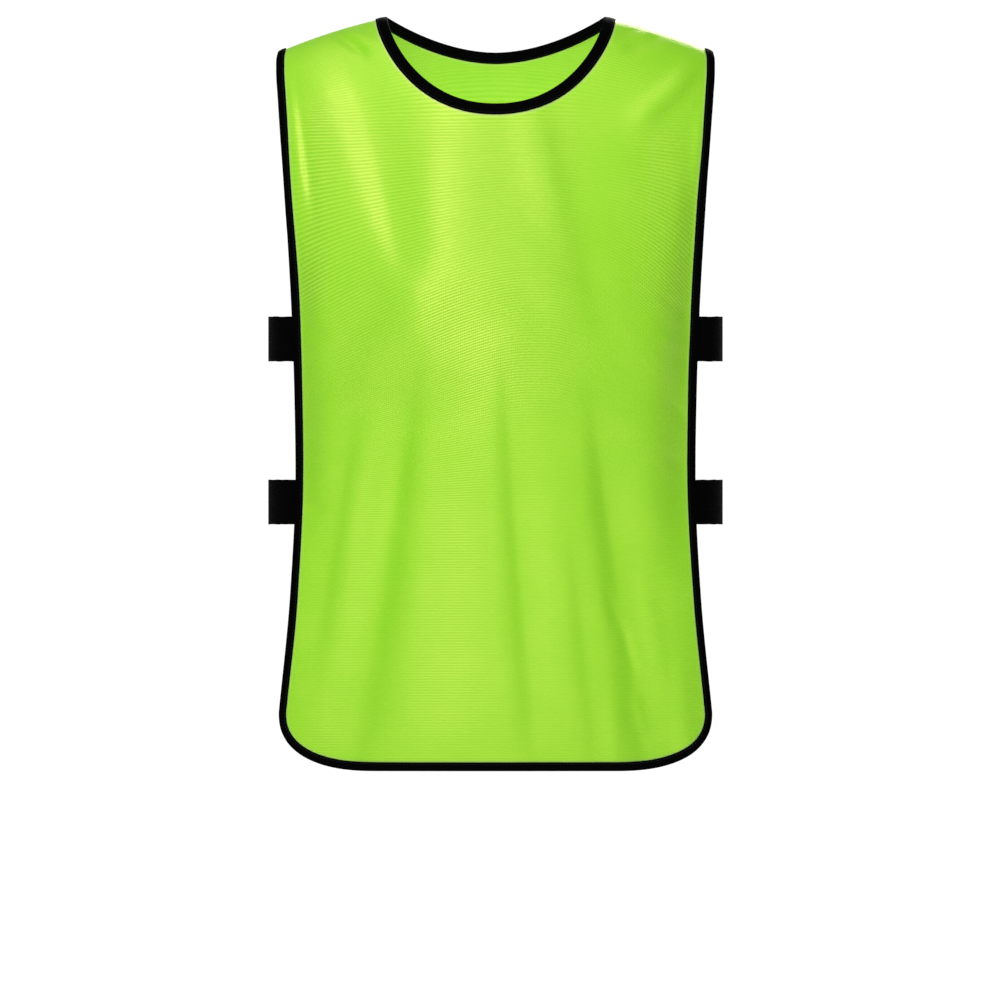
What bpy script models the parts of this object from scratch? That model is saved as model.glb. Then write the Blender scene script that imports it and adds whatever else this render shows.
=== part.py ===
"""Mesh training bib, filled out as it is worn, with nobody in it.

A front and a back panel of mesh cloth meet at two shoulder seams. A folded tape binds the neck, a second
one runs round the whole outer edge, and four elastic straps join the panels under the arms.

Metres, +Z up. X runs across the chest and the front faces -Y. The origin lies midway between the two
shoulder seams, level with the points 139 mm off the middle where they bear on the wearer's shoulders.
Left and right are the wearer's, so left is +X.
"""

import math
from collections import namedtuple

import bpy
import numpy as np

# Cloth, tape and elastic, and how far they stay apart
CLOTH_WALL = 0.0010
TAPE_WALL = 0.0010
ELASTIC_WALL = 0.0014
SEAM_GAP = 0.0003
RIDGE_SETBACK = 0.0002
TAPE_GAP = 0.0004
EDGE_TAPE_WIDTH = 0.0085
NECK_TAPE_WIDTH = 0.0102

# Outline, seen from the front
RIDGE_TOP = 0.0210
RIDGE_FALL = 1.090
NECK_HALF_WIDTH = 0.0970
FRONT_NECK_DROP = 0.0774
BACK_NECK_DROP = 0.0306
HEM_HEIGHT = -0.6665
CORNER_ACROSS = 0.0860
CORNER_ROUNDNESS = 2.4

# Shoulder: how far below the ridge the cloth has turned from level to hanging
SHOULDER_TURN = 0.0600
TURN_LENGTH = SHOULDER_TURN * math.pi / 2

# Straps
STRAP_WIDTH = 0.0405
STRAP_REACH = 0.2045
STRAP_HEIGHTS = {"upper": -0.2781, "lower": -0.4248}
STRAP_LAP = 0.0150
STRAP_CLEARANCE = 0.0004

# How finely the cloth is divided: a shoulder block on each side of the neck, over one body block
SHOULDER_COLUMNS = 8
SHOULDER_ROWS = 6
NECK_COLUMNS = 10
BODY_ROWS = 20
COLUMNS = 2 * SHOULDER_COLUMNS + NECK_COLUMNS
ROWS = SHOULDER_ROWS + BODY_ROWS
BLOCK_SHARE = 0.15
OUTLINE_SAMPLES = 240
STRAP_ROWS = 3
STRAP_LAP_POINTS = 3
STRAP_ARC_POINTS = 7

SideRow = namedtuple("SideRow", "height half_width")
SIDE_OUTLINE = (
    SideRow(-0.614, 0.1944),
    SideRow(-0.513, 0.1845),
    SideRow(-0.423, 0.1803),
    SideRow(-0.333, 0.1809),
    SideRow(-0.243, 0.1840),
    SideRow(-0.153, 0.1895),
    SideRow(-0.063, 0.1957),
    SideRow(-0.036, 0.1973),
    SideRow(-0.025, 0.1969),
    SideRow(-0.020, 0.1955),
)

# Level sections of the filled-out form: the half width of the oval, and its depth before and behind
Section = namedtuple("Section", "height half_width front_depth back_depth")
SECTIONS = (
    Section(-0.680, 0.238, 0.124, 0.107),
    Section(-0.600, 0.232, 0.122, 0.104),
    Section(-0.520, 0.228, 0.120, 0.100),
    Section(-0.430, 0.225, 0.121, 0.099),
    Section(-0.360, 0.225, 0.125, 0.103),
    Section(-0.280, 0.226, 0.127, 0.110),
    Section(-0.200, 0.229, 0.115, 0.112),
    Section(-0.120, 0.234, 0.090, 0.100),
    Section(-0.070, 0.237, 0.073, 0.084),
    Section(-0.020, 0.240, 0.060, 0.064),
    Section(0.030, 0.240, 0.052, 0.054),
)

# Neckline shape: drop = depth * (1 - across ** bow) ** fullness, with across from 0 at the middle to 1
Neckline = namedtuple("Neckline", "drop bow fullness")
FRONT_NECK = Neckline(FRONT_NECK_DROP, 2.20, 0.68)
BACK_NECK = Neckline(BACK_NECK_DROP, 1.85, 1.00)

# Folds: a soft ridge (rise above 0) or trough (below 0) along the line from its top to its foot
Fold = namedtuple("Fold", "top_x top_height foot_x foot_height rise half_width")
FRONT_FOLDS = (
    Fold(-0.150, -0.040, -0.103, -0.215, 0.0045, 0.017),
    Fold(-0.030, -0.080, -0.068, -0.285, 0.0045, 0.024),
    Fold(-0.108, -0.040, -0.082, -0.190, -0.0030, 0.016),
    Fold(0.060, -0.110, 0.066, -0.300, -0.0025, 0.018),
    Fold(0.178, -0.130, 0.160, -0.420, -0.0050, 0.016),
    Fold(-0.084, -0.380, -0.124, -0.760, -0.0060, 0.018),
    Fold(-0.117, -0.350, -0.152, -0.540, -0.0030, 0.012),
    Fold(-0.040, -0.400, -0.056, -0.760, 0.0035, 0.026),
    Fold(0.006, -0.330, 0.034, -0.760, -0.0045, 0.015),
    Fold(0.062, -0.400, 0.080, -0.760, 0.0030, 0.022),
    Fold(0.080, -0.330, 0.135, -0.700, -0.0050, 0.015),
)
BACK_FOLDS = (
    Fold(0.125, -0.050, 0.080, -0.230, 0.0040, 0.018),
    Fold(-0.130, -0.050, -0.092, -0.240, 0.0040, 0.020),
    Fold(0.010, -0.110, 0.018, -0.330, -0.0035, 0.022),
    Fold(0.170, -0.150, 0.158, -0.420, -0.0040, 0.016),
    Fold(-0.172, -0.170, -0.156, -0.430, -0.0040, 0.016),
    Fold(0.094, -0.360, 0.128, -0.760, -0.0055, 0.018),
    Fold(0.030, -0.380, 0.042, -0.760, 0.0035, 0.024),
    Fold(-0.014, -0.340, -0.026, -0.760, -0.0045, 0.016),
    Fold(-0.090, -0.350, -0.122, -0.760, -0.0050, 0.018),
)
FOLD_FADE = 0.35
FOLD_TOP_WIDTH = 0.65

Panel = namedtuple("Panel", "name facing depth neck folds")
FRONT = Panel("front_panel", -1.0, "front_depth", FRONT_NECK, FRONT_FOLDS)
BACK = Panel("back_panel", 1.0, "back_depth", BACK_NECK, BACK_FOLDS)

# What the pieces are made of, in linear colour
Finish = namedtuple("Finish", "colour roughness")
MESH_CLOTH = Finish((0.36, 0.78, 0.05), 0.55)
BLACK_TAPE = Finish((0.006, 0.006, 0.007), 0.65)
BLACK_ELASTIC = Finish((0.008, 0.008, 0.009), 0.80)


def clear_scene():
    """Remove everything that the scene starts with."""
    for obj in list(bpy.data.objects):
        bpy.data.objects.remove(obj)


def through_rows(rows, column, height):
    """Smooth curve through a table's rows: each row's slope is the slope between its two neighbours."""
    at = np.array([row.height for row in rows])
    value = np.array([getattr(row, column) for row in rows])
    slope = np.gradient(value, at)
    height = np.clip(height, at[0], at[-1])
    k = np.clip(np.searchsorted(at, height) - 1, 0, len(at) - 2)
    span = at[k + 1] - at[k]
    t = (height - at[k]) / span
    return (
        value[k] * (1 + 2 * t) * (1 - t) ** 2
        + value[k + 1] * t**2 * (3 - 2 * t)
        + span * (slope[k] * t * (1 - t) ** 2 - slope[k + 1] * t**2 * (1 - t))
    )


def ridge_height(x):
    """Height of the shoulder ridge, which falls from the neck to the tip ever more steeply."""
    return RIDGE_TOP - RIDGE_FALL * x**2


def height_at(x, down):
    """Height of the point at x that lies that far down the cloth from the ridge."""
    turn = np.clip(down / TURN_LENGTH, 0, 1) * math.pi / 2
    fall = SHOULDER_TURN * (1 - np.cos(turn)) + np.maximum(down - TURN_LENGTH, 0)
    return ridge_height(x) - fall


def down_at(x, height):
    """How far down the cloth from the ridge the point at x and that height lies."""
    fall = np.maximum(ridge_height(x) - height, 0)
    turn = np.arccos(1 - np.clip(fall / SHOULDER_TURN, 0, 1))
    return turn * SHOULDER_TURN + np.maximum(fall - SHOULDER_TURN, 0)


def fold_rise(folds, x, height):
    """How far the folds lift the cloth at x and that height: each is a bell across its own line."""
    rise = np.zeros(np.broadcast(x, height).shape)
    for fold in folds:
        along = (height - fold.top_height) / (fold.foot_height - fold.top_height)
        inside = np.clip(along, 0, 1)
        line = fold.top_x + (fold.foot_x - fold.top_x) * inside
        width = fold.half_width * (FOLD_TOP_WIDTH + (1 - FOLD_TOP_WIDTH) * inside)
        near_end = np.clip(np.minimum(along, 1 - along) / FOLD_FADE, 0, 1)
        fade = near_end**2 * (3 - 2 * near_end)
        rise += fold.rise * fade * np.exp(-(((x - line) / width) ** 2))
    return rise


def surface(panel, x, down):
    """Middle of the cloth: an oval section at each height, turned over the shoulder ridge, with its folds."""
    height = height_at(x, down)
    half_width = through_rows(SECTIONS, "half_width", height)
    depth = through_rows(SECTIONS, panel.depth, height)
    turn = np.clip(down / TURN_LENGTH, 0, 1) * math.pi / 2
    oval = np.sqrt(np.maximum(1 - (x / half_width) ** 2, 0))
    away = depth * oval * np.sin(turn) + fold_rise(panel.folds, x, height)
    return np.stack([x, panel.facing * away, height], axis=-1)


def slopes(panel, x, down):
    """How the surface point moves as x grows and as down grows."""
    step = 1e-5
    below = down + step
    across = surface(panel, x + step, down) - surface(panel, x - step, down)
    along = surface(panel, x, below) - surface(panel, x, down)
    return across / (2 * step), along / step


def outward(panel, x, down):
    """Unit normal of the cloth, pointing away from the wearer."""
    across, along = slopes(panel, x, down)
    normal = panel.facing * np.cross(across, along)
    return normal / np.linalg.norm(normal, axis=-1, keepdims=True)


def inset(panel, x, down, distance):
    """Points moved into the cloth, square to the line that they make, by a distance measured on the cloth."""
    line = surface(panel, x, down)
    along_line = np.gradient(line, axis=0)
    along_line /= np.linalg.norm(along_line, axis=1, keepdims=True)
    inward = np.cross(along_line, outward(panel, x, down)) * panel.facing
    across, along = slopes(panel, x, down)
    metric = np.stack([across, along], axis=-1)
    moved = np.einsum("nij,nj->ni", np.linalg.pinv(metric), inward * distance)
    down_moved = np.where(down <= RIDGE_SETBACK, down, down + moved[:, 1])
    return x + moved[:, 0], np.maximum(down_moved, RIDGE_SETBACK)


def spaced(x, down, shares):
    """Points at these shares of a curve's length, as x and down."""
    steps = np.hypot(np.diff(x), np.diff(down))
    length = np.concatenate([[0], np.cumsum(steps)])
    at = np.asarray(shares) * length[-1]
    return np.interp(at, length, x), np.interp(at, length, down)


def corner_curve(angles):
    """The rounded lower corner on the +X side, from its side end at angle 0 to its hem end at pi / 2."""
    power = 2 / CORNER_ROUNDNESS
    side = SIDE_OUTLINE[0]
    x = side.half_width - CORNER_ACROSS * (1 - np.cos(angles) ** power)
    height = side.height + (HEM_HEIGHT - side.height) * np.sin(angles) ** power
    return x, height


def side_curve():
    """Finished outline on the +X side, from the shoulder tip to the middle of the lower corner."""
    tip = SIDE_OUTLINE[-1].half_width
    heights = np.linspace(ridge_height(tip), SIDE_OUTLINE[0].height, OUTLINE_SAMPLES)
    corner_x, corner_height = corner_curve(np.linspace(0, math.pi / 4, OUTLINE_SAMPLES // 4)[1:])
    x = np.concatenate([through_rows(SIDE_OUTLINE, "half_width", heights), corner_x])
    height = np.concatenate([heights, corner_height])
    return x, np.maximum(down_at(x, height), RIDGE_SETBACK)


def hem_curve():
    """Finished outline along the hem, from the middle of the -X corner to that of the +X corner."""
    x, height = corner_curve(np.linspace(math.pi / 4, math.pi / 2, OUTLINE_SAMPLES // 4))
    level = np.linspace(-x[-1], x[-1], OUTLINE_SAMPLES)[1:-1]
    x = np.concatenate([-x, level, x[::-1]])
    height = np.concatenate([height, np.full(level.shape, HEM_HEIGHT), height[::-1]])
    return x, down_at(x, height)


def neck_curve(neck):
    """Finished neckline from the -X shoulder ridge to the +X one."""
    angle = np.linspace(-math.pi / 2, math.pi / 2, OUTLINE_SAMPLES)
    across = np.sin(angle)
    drop = neck.drop * (1 - np.abs(across) ** neck.bow) ** neck.fullness
    x = NECK_HALF_WIDTH * across
    return x, np.maximum(down_at(x, ridge_height(NECK_HALF_WIDTH) - drop), RIDGE_SETBACK)


def band(panel, x, down, width):
    """The cut edge inside a finished outline and the line where its tape ends, each as x and down."""
    fold = TAPE_WALL + 2 * TAPE_GAP
    return inset(panel, x, down, fold), inset(panel, x, down, width)


def edge_bands(panel):
    """Cut edge and tape line down the -X side, along the hem and up the +X side, joined in that order."""
    upper = np.linspace(0, BLOCK_SHARE, SHOULDER_ROWS + 1)
    lower = np.linspace(BLOCK_SHARE, 1, BODY_ROWS + 1)
    side_x, side_down = spaced(*side_curve(), np.concatenate([upper, lower[1:]]))
    hem_x, hem_down = spaced(*hem_curve(), np.linspace(0, 1, COLUMNS + 1))
    x = np.concatenate([-side_x, hem_x[1:-1], side_x[::-1]])
    down = np.concatenate([side_down, hem_down[1:-1], side_down[::-1]])
    return band(panel, x, down, EDGE_TAPE_WIDTH)


def neck_bands(panel):
    """Cut edge and tape line of the neck, from the +X shoulder ridge down and up to the -X one."""
    x, down = spaced(*neck_curve(panel.neck), np.linspace(1, 0, NECK_COLUMNS + 2 * SHOULDER_ROWS + 1))
    return band(panel, x, down, NECK_TAPE_WIDTH)


def filled_grid(top, bottom, left, right):
    """Grid between four edges, each of x and down: blends of the opposite ones, less those of the corners."""
    s = np.linspace(0, 1, top.shape[0])[:, None, None]
    w = np.linspace(0, 1, left.shape[0])[None, :, None]
    across = (1 - s) * left[None] + s * right[None]
    along = (1 - w) * top[:, None] + w * bottom[:, None]
    corners = (1 - s) * ((1 - w) * left[0] + w * left[-1]) + s * ((1 - w) * right[0] + w * right[-1])
    return across + along - corners


def straight(start, end, count):
    """That many points evenly from start to end."""
    share = np.linspace(0, 1, count)[:, None]
    return (1 - share) * start + share * end


def grid_quads(number):
    """Corners of a grid's cells, one row for each, in the order down and then across."""
    cells = (number[:-1, :-1], number[:-1, 1:], number[1:, 1:], number[1:, :-1])
    return np.stack([corner.ravel() for corner in cells], axis=-1)


def panel_cloth(panel):
    """The panel's cloth in three blocks, a shoulder on each side and the body, and its two taped edges.

    Returns the points, the faces, and for each taped edge the numbers of its cut edge and its tape line.
    """
    edge_cut, edge_line = (np.stack(curve, axis=-1) for curve in edge_bands(panel))
    neck_cut, neck_line = (np.stack(curve, axis=-1) for curve in neck_bands(panel))
    first_side, other_side = edge_line[: ROWS + 1], edge_line[: -ROWS - 2 : -1]
    other_neck, lower_neck, first_neck = (
        neck_line[: SHOULDER_ROWS + 1],
        neck_line[SHOULDER_ROWS : SHOULDER_ROWS + NECK_COLUMNS + 1][::-1],
        neck_line[: -SHOULDER_ROWS - 2 : -1],
    )
    across = SHOULDER_COLUMNS + 1
    first_foot = straight(first_side[SHOULDER_ROWS], first_neck[-1], across)
    other_foot = straight(other_neck[-1], other_side[SHOULDER_ROWS], across)
    first = filled_grid(
        straight(first_side[0], first_neck[0], across),
        first_foot,
        first_side[: SHOULDER_ROWS + 1],
        first_neck,
    )
    other = filled_grid(
        straight(other_neck[0], other_side[0], across),
        other_foot,
        other_neck,
        other_side[: SHOULDER_ROWS + 1],
    )
    body = filled_grid(
        np.concatenate([first_foot, lower_neck[1:-1], other_foot]),
        edge_line[ROWS:-ROWS],
        first_side[SHOULDER_ROWS:],
        other_side[SHOULDER_ROWS:],
    )

    body_ids = np.arange(body.shape[0] * body.shape[1]).reshape(body.shape[:2])
    own_ids = body_ids.size + np.arange(across * SHOULDER_ROWS).reshape(across, SHOULDER_ROWS)
    first_ids = np.concatenate([own_ids, body_ids[:across, :1]], axis=1)
    other_ids = np.concatenate([own_ids + own_ids.size, body_ids[-across:, :1]], axis=1)
    line_ids = np.concatenate(
        [first_ids[0, :-1], body_ids[0], body_ids[1:-1, -1], body_ids[-1, ::-1], other_ids[-1, -2::-1]]
    )
    neck_ids = np.concatenate(
        [other_ids[0, :-1], body_ids[SHOULDER_COLUMNS:-SHOULDER_COLUMNS, 0][::-1], first_ids[-1, -2::-1]]
    )
    edge_ids = body_ids.size + 2 * own_ids.size + np.arange(len(edge_cut))
    cut_ids = edge_ids[-1] + 1 + np.arange(len(neck_cut))
    flat = np.concatenate(
        [block.reshape(-1, 2) for block in (body, first[:, :-1], other[:, :-1], edge_cut, neck_cut)]
    )
    grids = (body_ids, first_ids, other_ids, np.stack([edge_ids, line_ids]), np.stack([cut_ids, neck_ids]))
    faces = np.concatenate([grid_quads(number) for number in grids])
    if panel.facing > 0:
        faces = faces[:, ::-1]
    points = surface(panel, flat[:, 0], flat[:, 1])
    return points, faces, (edge_ids, line_ids), (cut_ids, neck_ids)


def point_normals(points, faces):
    """Unit normal at each point: the sum of its faces' normals, each as long as the face is large."""
    normals = np.zeros_like(points)
    corners = points[faces]
    diagonals = np.cross(corners[:, 2] - corners[:, 0], corners[:, 3] - corners[:, 1])
    for corner in range(4):
        np.add.at(normals, faces[:, corner], diagonals)
    return normals / np.linalg.norm(normals, axis=1, keepdims=True)


def joined_loop(front, back):
    """Two runs that end on both shoulder ridges, made one closed loop with one point at each ridge."""
    first, last = (front[0] + back[0]) / 2, (front[-1] + back[-1]) / 2
    return np.concatenate([[first], front[1:-1], [last], back[-2:0:-1]])


def tape_surface(edge, tape_line, edge_normal, line_normal):
    """Closed ring of tape, over the cloth's edge from side to side, as its face next to the cloth."""
    over = edge - tape_line
    over /= np.linalg.norm(over, axis=1, keepdims=True)
    off = CLOTH_WALL / 2 + TAPE_GAP
    rows = (
        tape_line + line_normal * off,
        edge + edge_normal * off + over * TAPE_GAP,
        edge + over * (off + TAPE_GAP),
        edge - edge_normal * off + over * TAPE_GAP,
        tape_line - line_normal * off,
    )
    points = np.stack(rows, axis=1)
    count, across = points.shape[:2]
    number = np.arange(count * across).reshape(count, across)
    return points.reshape(-1, 3), grid_quads(np.concatenate([number, number[:1]]))


def bound_edge(front_cloth, back_cloth, which):
    """The tape round one taped edge of both panels; which is 2 for the outer edge and 3 for the neck."""
    runs = []
    for cloth in (front_cloth, back_cloth):
        points, faces = cloth[0], cloth[1]
        normals = point_normals(points, faces)
        edge_ids, line_ids = cloth[which]
        runs.append((points[edge_ids], points[line_ids], normals[edge_ids], normals[line_ids]))
    edge, line, edge_normal, line_normal = (joined_loop(*pair) for pair in zip(*runs))
    edge_normal /= np.linalg.norm(edge_normal, axis=1, keepdims=True)
    line_normal /= np.linalg.norm(line_normal, axis=1, keepdims=True)
    return tape_surface(edge, line, edge_normal, line_normal)


def strap_lap(panel, side, heights):
    """The strap's end behind a panel's edge, from its cut end out to the edge, and its way out of there."""
    off = CLOTH_WALL / 2 + TAPE_WALL + ELASTIC_WALL / 2 + SEAM_GAP + STRAP_CLEARANCE
    outline = through_rows(SIDE_OUTLINE, "half_width", heights)
    back_from_edge = np.linspace(STRAP_LAP, SEAM_GAP, STRAP_LAP_POINTS)
    x = side * (outline[:, None] - back_from_edge[None, :])
    down = down_at(x, heights[:, None])
    points = surface(panel, x, down) - outward(panel, x, down) * off
    points[..., 2] = heights[:, None]
    way = points[:, -1] - points[:, -2]
    return points, way / np.linalg.norm(way, axis=1, keepdims=True)


def strap_arc(start, way, peak):
    """Cubic from a strap's lap to the point where it reaches furthest out and runs straight back."""
    t = np.linspace(0, 1, STRAP_ARC_POINTS + 1)[None, 1:, None]
    length = np.linalg.norm(peak - start, axis=1)[:, None, None]
    straight_back = np.zeros_like(way)
    straight_back[:, 1] = np.sign(peak[:, 1] - start[:, 1])
    return (
        (1 + 2 * t) * (1 - t) ** 2 * start[:, None]
        + t**2 * (3 - 2 * t) * peak[:, None]
        + length * t * (1 - t) ** 2 * way[:, None]
        - length * t**2 * (1 - t) * straight_back[:, None]
    )


def strap_surface(side, height):
    """Middle of one elastic strap, from behind the front panel's edge round to behind the back panel's."""
    heights = height + np.linspace(-0.5, 0.5, STRAP_ROWS) * STRAP_WIDTH
    front, front_way = strap_lap(FRONT, side, heights)
    back, back_way = strap_lap(BACK, side, heights)
    peak = (front[:, -1] + back[:, -1]) / 2
    peak[:, 0] = side * (STRAP_REACH - ELASTIC_WALL / 2)
    points = np.concatenate(
        [
            front,
            strap_arc(front[:, -1], front_way, peak),
            strap_arc(back[:, -1], back_way, peak)[:, -2::-1],
            back[:, ::-1],
        ],
        axis=1,
    )
    number = np.arange(points.shape[0] * points.shape[1]).reshape(points.shape[:2])
    return points.reshape(-1, 3), grid_quads(number)


def material(name, finish):
    """Principled material with the finish's colour and roughness."""
    made = bpy.data.materials.new(name)
    made.use_nodes = True
    shader = made.node_tree.nodes["Principled BSDF"]
    shader.inputs["Base Color"].default_value = (*finish.colour, 1.0)
    shader.inputs["Roughness"].default_value = finish.roughness
    shader.inputs["Metallic"].default_value = 0.0
    return made


def wall(name, points, faces, thickness, offset, finish, collection, parent):
    """A named object: an open surface given its thickness, about its middle (offset 0) or outwards (1)."""
    mesh = bpy.data.meshes.new(name)
    mesh.from_pydata(points.tolist(), [], faces.tolist())
    mesh.update()
    mesh.shade_smooth()
    mesh.set_sharp_from_angle(angle=math.radians(40))
    mesh.materials.append(finish)
    obj = bpy.data.objects.new(name, mesh)
    obj.parent = parent
    collection.objects.link(obj)
    shell = obj.modifiers.new("wall", "SOLIDIFY")
    shell.thickness = thickness
    shell.offset = offset
    shell.use_even_offset = True
    shell.use_quality_normals = True
    return obj


def build():
    """Make every piece of the bib in a collection of its own."""
    clear_scene()
    collection = bpy.data.collections.new("training_bib")
    bpy.context.scene.collection.children.link(collection)
    parent = bpy.data.objects.new("training_bib", None)
    collection.objects.link(parent)
    cloth = material("mesh_cloth", MESH_CLOTH)
    tape = material("black_tape", BLACK_TAPE)
    elastic = material("black_elastic", BLACK_ELASTIC)

    front, back = panel_cloth(FRONT), panel_cloth(BACK)
    for panel, made in ((FRONT, front), (BACK, back)):
        wall(panel.name, made[0], made[1], CLOTH_WALL, 0.0, cloth, collection, parent)
    for name, which in (("edge_binding", 2), ("neck_binding", 3)):
        points, faces = bound_edge(front, back, which)
        wall(name, points, faces, TAPE_WALL, 1.0, tape, collection, parent)
    for side_name, side in (("left", 1.0), ("right", -1.0)):
        for place, height in STRAP_HEIGHTS.items():
            points, faces = strap_surface(side, height)
            name = f"strap_{side_name}_{place}"
            wall(name, points, faces, ELASTIC_WALL, 0.0, elastic, collection, parent)


build()
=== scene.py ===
"""Mesh training bib in its worn form: the looks of its cloth, tapes, elastic and sewing.

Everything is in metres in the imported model's frame: X across the chest, the front facing -Y, Z up, with
the origin midway between the shoulder seams. A place on a panel is given by x and by how far down the
cloth it lies from the shoulder ridge; both panels are one form seen from its two sides.
"""

import logging
import math
from dataclasses import dataclass
from enum import Enum

import bpy
import numpy as np
from bpy.types import Material, Node, NodeOutputs, NodeSocket, NodeTree, Object
from numpy import ndarray as Array
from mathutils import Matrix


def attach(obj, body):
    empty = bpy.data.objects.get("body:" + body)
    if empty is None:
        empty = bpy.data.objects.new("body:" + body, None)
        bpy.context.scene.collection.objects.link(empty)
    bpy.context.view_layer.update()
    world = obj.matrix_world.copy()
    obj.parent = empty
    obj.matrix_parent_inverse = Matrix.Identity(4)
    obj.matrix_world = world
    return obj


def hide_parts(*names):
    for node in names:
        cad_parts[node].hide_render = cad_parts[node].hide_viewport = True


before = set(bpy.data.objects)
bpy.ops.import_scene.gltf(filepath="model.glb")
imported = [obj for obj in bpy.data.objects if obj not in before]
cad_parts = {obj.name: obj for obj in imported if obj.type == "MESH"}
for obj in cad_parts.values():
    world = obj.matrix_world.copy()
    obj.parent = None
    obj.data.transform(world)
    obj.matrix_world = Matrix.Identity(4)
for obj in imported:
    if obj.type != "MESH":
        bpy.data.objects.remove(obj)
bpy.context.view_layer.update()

LOG = logging.getLogger("training_bib")
MM = 0.001
UV_LAYER = "weave"
RIB_MASK = "rib_show"
# Mask of the painted highlight on the cloth beside the edge tape and the neck tape.
HIGHLIGHT_MASK = "painted_edge_highlight"
EDGE_TAPE_WIDTH = 8.4 * MM
NECK_TAPE_WIDTH = 10.9 * MM
FOLD_ROOM = 1.7 * MM
CLOTH_WALL = 0.9 * MM
WHITE = (1.0, 1.0, 1.0, 1.0)
SIDES = (("left", 1.0), ("right", -1.0))
STRAP_ROWS = (("upper", -0.2781), ("lower", -0.4248))

Pair = tuple[float, float]
Triple = tuple[float, float, float]
Curve = tuple[Array, Array]


class Facing(Enum):
    """Which side of the wearer a panel covers, as the sign of Y."""

    FRONT = -1.0
    BACK = 1.0


@dataclass(frozen=True)
class Section:
    """Level section of the form: an oval's half width, and its depth before and behind."""

    height: float
    half_width: float
    front_depth: float
    back_depth: float


@dataclass(frozen=True)
class SideRow:
    """Half width of the finished outline at a height."""

    height: float
    half_width: float


@dataclass(frozen=True)
class Neckline:
    """Neckline that drops by depth * (1 - across ** bow) ** fullness, across being 0 at the middle."""

    drop: float
    bow: float
    fullness: float


@dataclass(frozen=True)
class Crease:
    """Soft ridge (rise above 0) or trough (below 0) along a line, from its top to its foot.

    bend moves the line's middle sideways, and fade is the share of its length over which each end dies.
    flanks says how many times half_width its two sides take, for folds that lean: the -X side and then the
    +X side, or of a level line the lower side and then the upper one.
    """

    top_x: float
    top_height: float
    foot_x: float
    foot_height: float
    rise: float
    half_width: float
    bend: float = 0.0
    fade: float = 0.35
    top_width: float = 0.65
    flanks: Pair = (1.0, 1.0)


SIDE_OUTLINE = (
    SideRow(-0.614, 0.1944),
    SideRow(-0.513, 0.1845),
    SideRow(-0.423, 0.1803),
    SideRow(-0.333, 0.1809),
    SideRow(-0.243, 0.1840),
    SideRow(-0.153, 0.1895),
    SideRow(-0.063, 0.1957),
    SideRow(-0.036, 0.1973),
    SideRow(-0.025, 0.1969),
    SideRow(-0.020, 0.1955),
)

SECTIONS = (
    Section(-0.680, 0.238, 0.124, 0.107),
    Section(-0.600, 0.232, 0.122, 0.104),
    Section(-0.520, 0.228, 0.120, 0.100),
    Section(-0.430, 0.225, 0.121, 0.099),
    Section(-0.360, 0.225, 0.125, 0.103),
    Section(-0.280, 0.226, 0.127, 0.110),
    Section(-0.200, 0.229, 0.115, 0.112),
    Section(-0.120, 0.234, 0.090, 0.100),
    Section(-0.070, 0.237, 0.073, 0.084),
    Section(-0.020, 0.240, 0.060, 0.064),
    Section(0.030, 0.240, 0.052, 0.054),
)

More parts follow.
